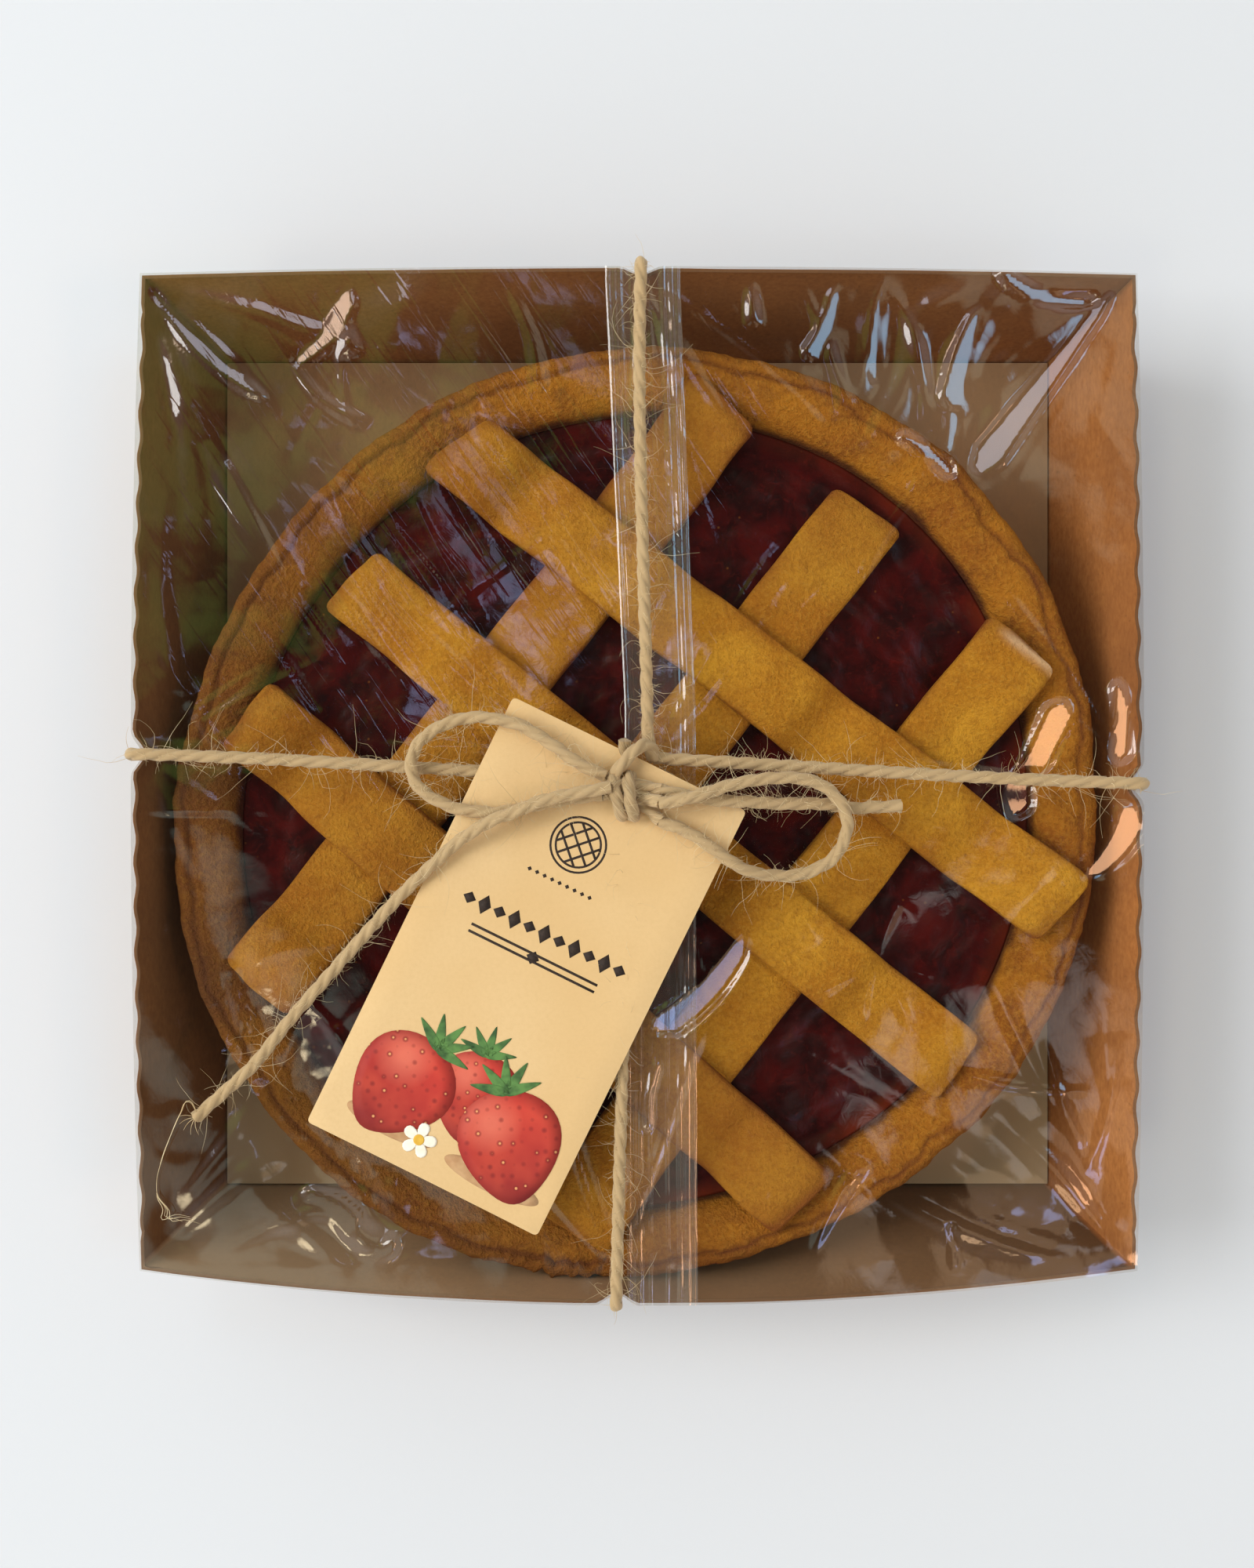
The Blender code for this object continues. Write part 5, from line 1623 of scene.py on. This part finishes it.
def make_stage():
    bm = bmesh.new()
    bmesh.ops.create_grid(bm, x_segments=1, y_segments=1, size=1500)
    bmesh.ops.translate(bm, verts=bm.verts, vec=(0, 0, -0.05))
    material, tree, shader = material_of("studio_floor_matt")
    tone = grain(tree, object_coords(tree), 300.0, 2.0)
    paint(tree, shader, (tone, 0.3, 0.7, "#DDE3EA", "#DFE5EC"), roughness=0.95, specular=0.0)
    new_piece("studio_floor", bm, material)


def make_lights():
    """A pale room with a dark ceiling, its glows, one large soft key and small panels."""
    world = bpy.data.worlds.new("studio")
    world.use_nodes = True
    tree = world.node_tree
    toward = add(tree, "TexCoord").outputs["Generated"]
    parts = add(tree, "SeparateXYZ", {"Vector": toward})
    room = ranged(tree, parts.outputs["Z"], 0.93, 0.6, 0.015, 1.04)
    side = ranged(tree, parts.outputs["X"], -1.0, 1.0, 1.3, 0.7)
    room = add(tree, "Math", {0: room, 1: side}, operation="MULTIPLY").outputs[0]
    light = mixed(tree, room, (0, 0, 0, 1), colour("#F2F2EF"))
    for heading, lean, inner, outer, tint, gain in GLOWS.values():
        aim = {0: toward, 1: overhead(heading, lean)}
        near = add(tree, "VectorMath", aim, operation="DOT_PRODUCT").outputs["Value"]
        share = ranged(tree, near, math.cos(math.radians(outer)), math.cos(math.radians(inner)))
        tone = tuple(gain * value for value in colour(tint)[:3])
        light = mixed(tree, share, light, (*tone, 1.0), "ADD")
    tree.links.new(light, tree.nodes["Background"].inputs["Color"])
    bpy.context.scene.world = world
    for name, facts in PANELS.items():
        area_light(name, *facts)


def make_camera():
    data = bpy.data.cameras.new("camera")
    data.sensor_fit = "VERTICAL"
    data.sensor_height = SENSOR
    data.lens = CAMERA_LENS
    camera = placed("camera", data)
    camera.location = [value * MM for value in CAMERA_PLACE]
    bpy.context.scene.camera = camera


def main():
    scene = bpy.context.scene
    scene.view_settings.view_transform = "Standard"
    make_camera()
    make_twine(jute_material(), jute_fibre_material())
    make_stage()
    make_lights()
    board = kraft_board_material()
    make_walls(board)
    make_base(board)
    make_crust(crust_material())
    make_jam(jam_material())
    dough = lattice_material()
    for name, facts in STRIPS.items():
        make_strip(name, facts, dough)
    make_card(card_material())
    make_ornament()
    make_berries()
    cellophane = film_material("cellophane_clear", 0.0015)
    folds = film_folds()
    make_film_top(folds, cellophane)
    make_film_skirt(cellophane)
    make_film_seam(folds, film_material("cellophane_sealed_seam", 0.065))


main()
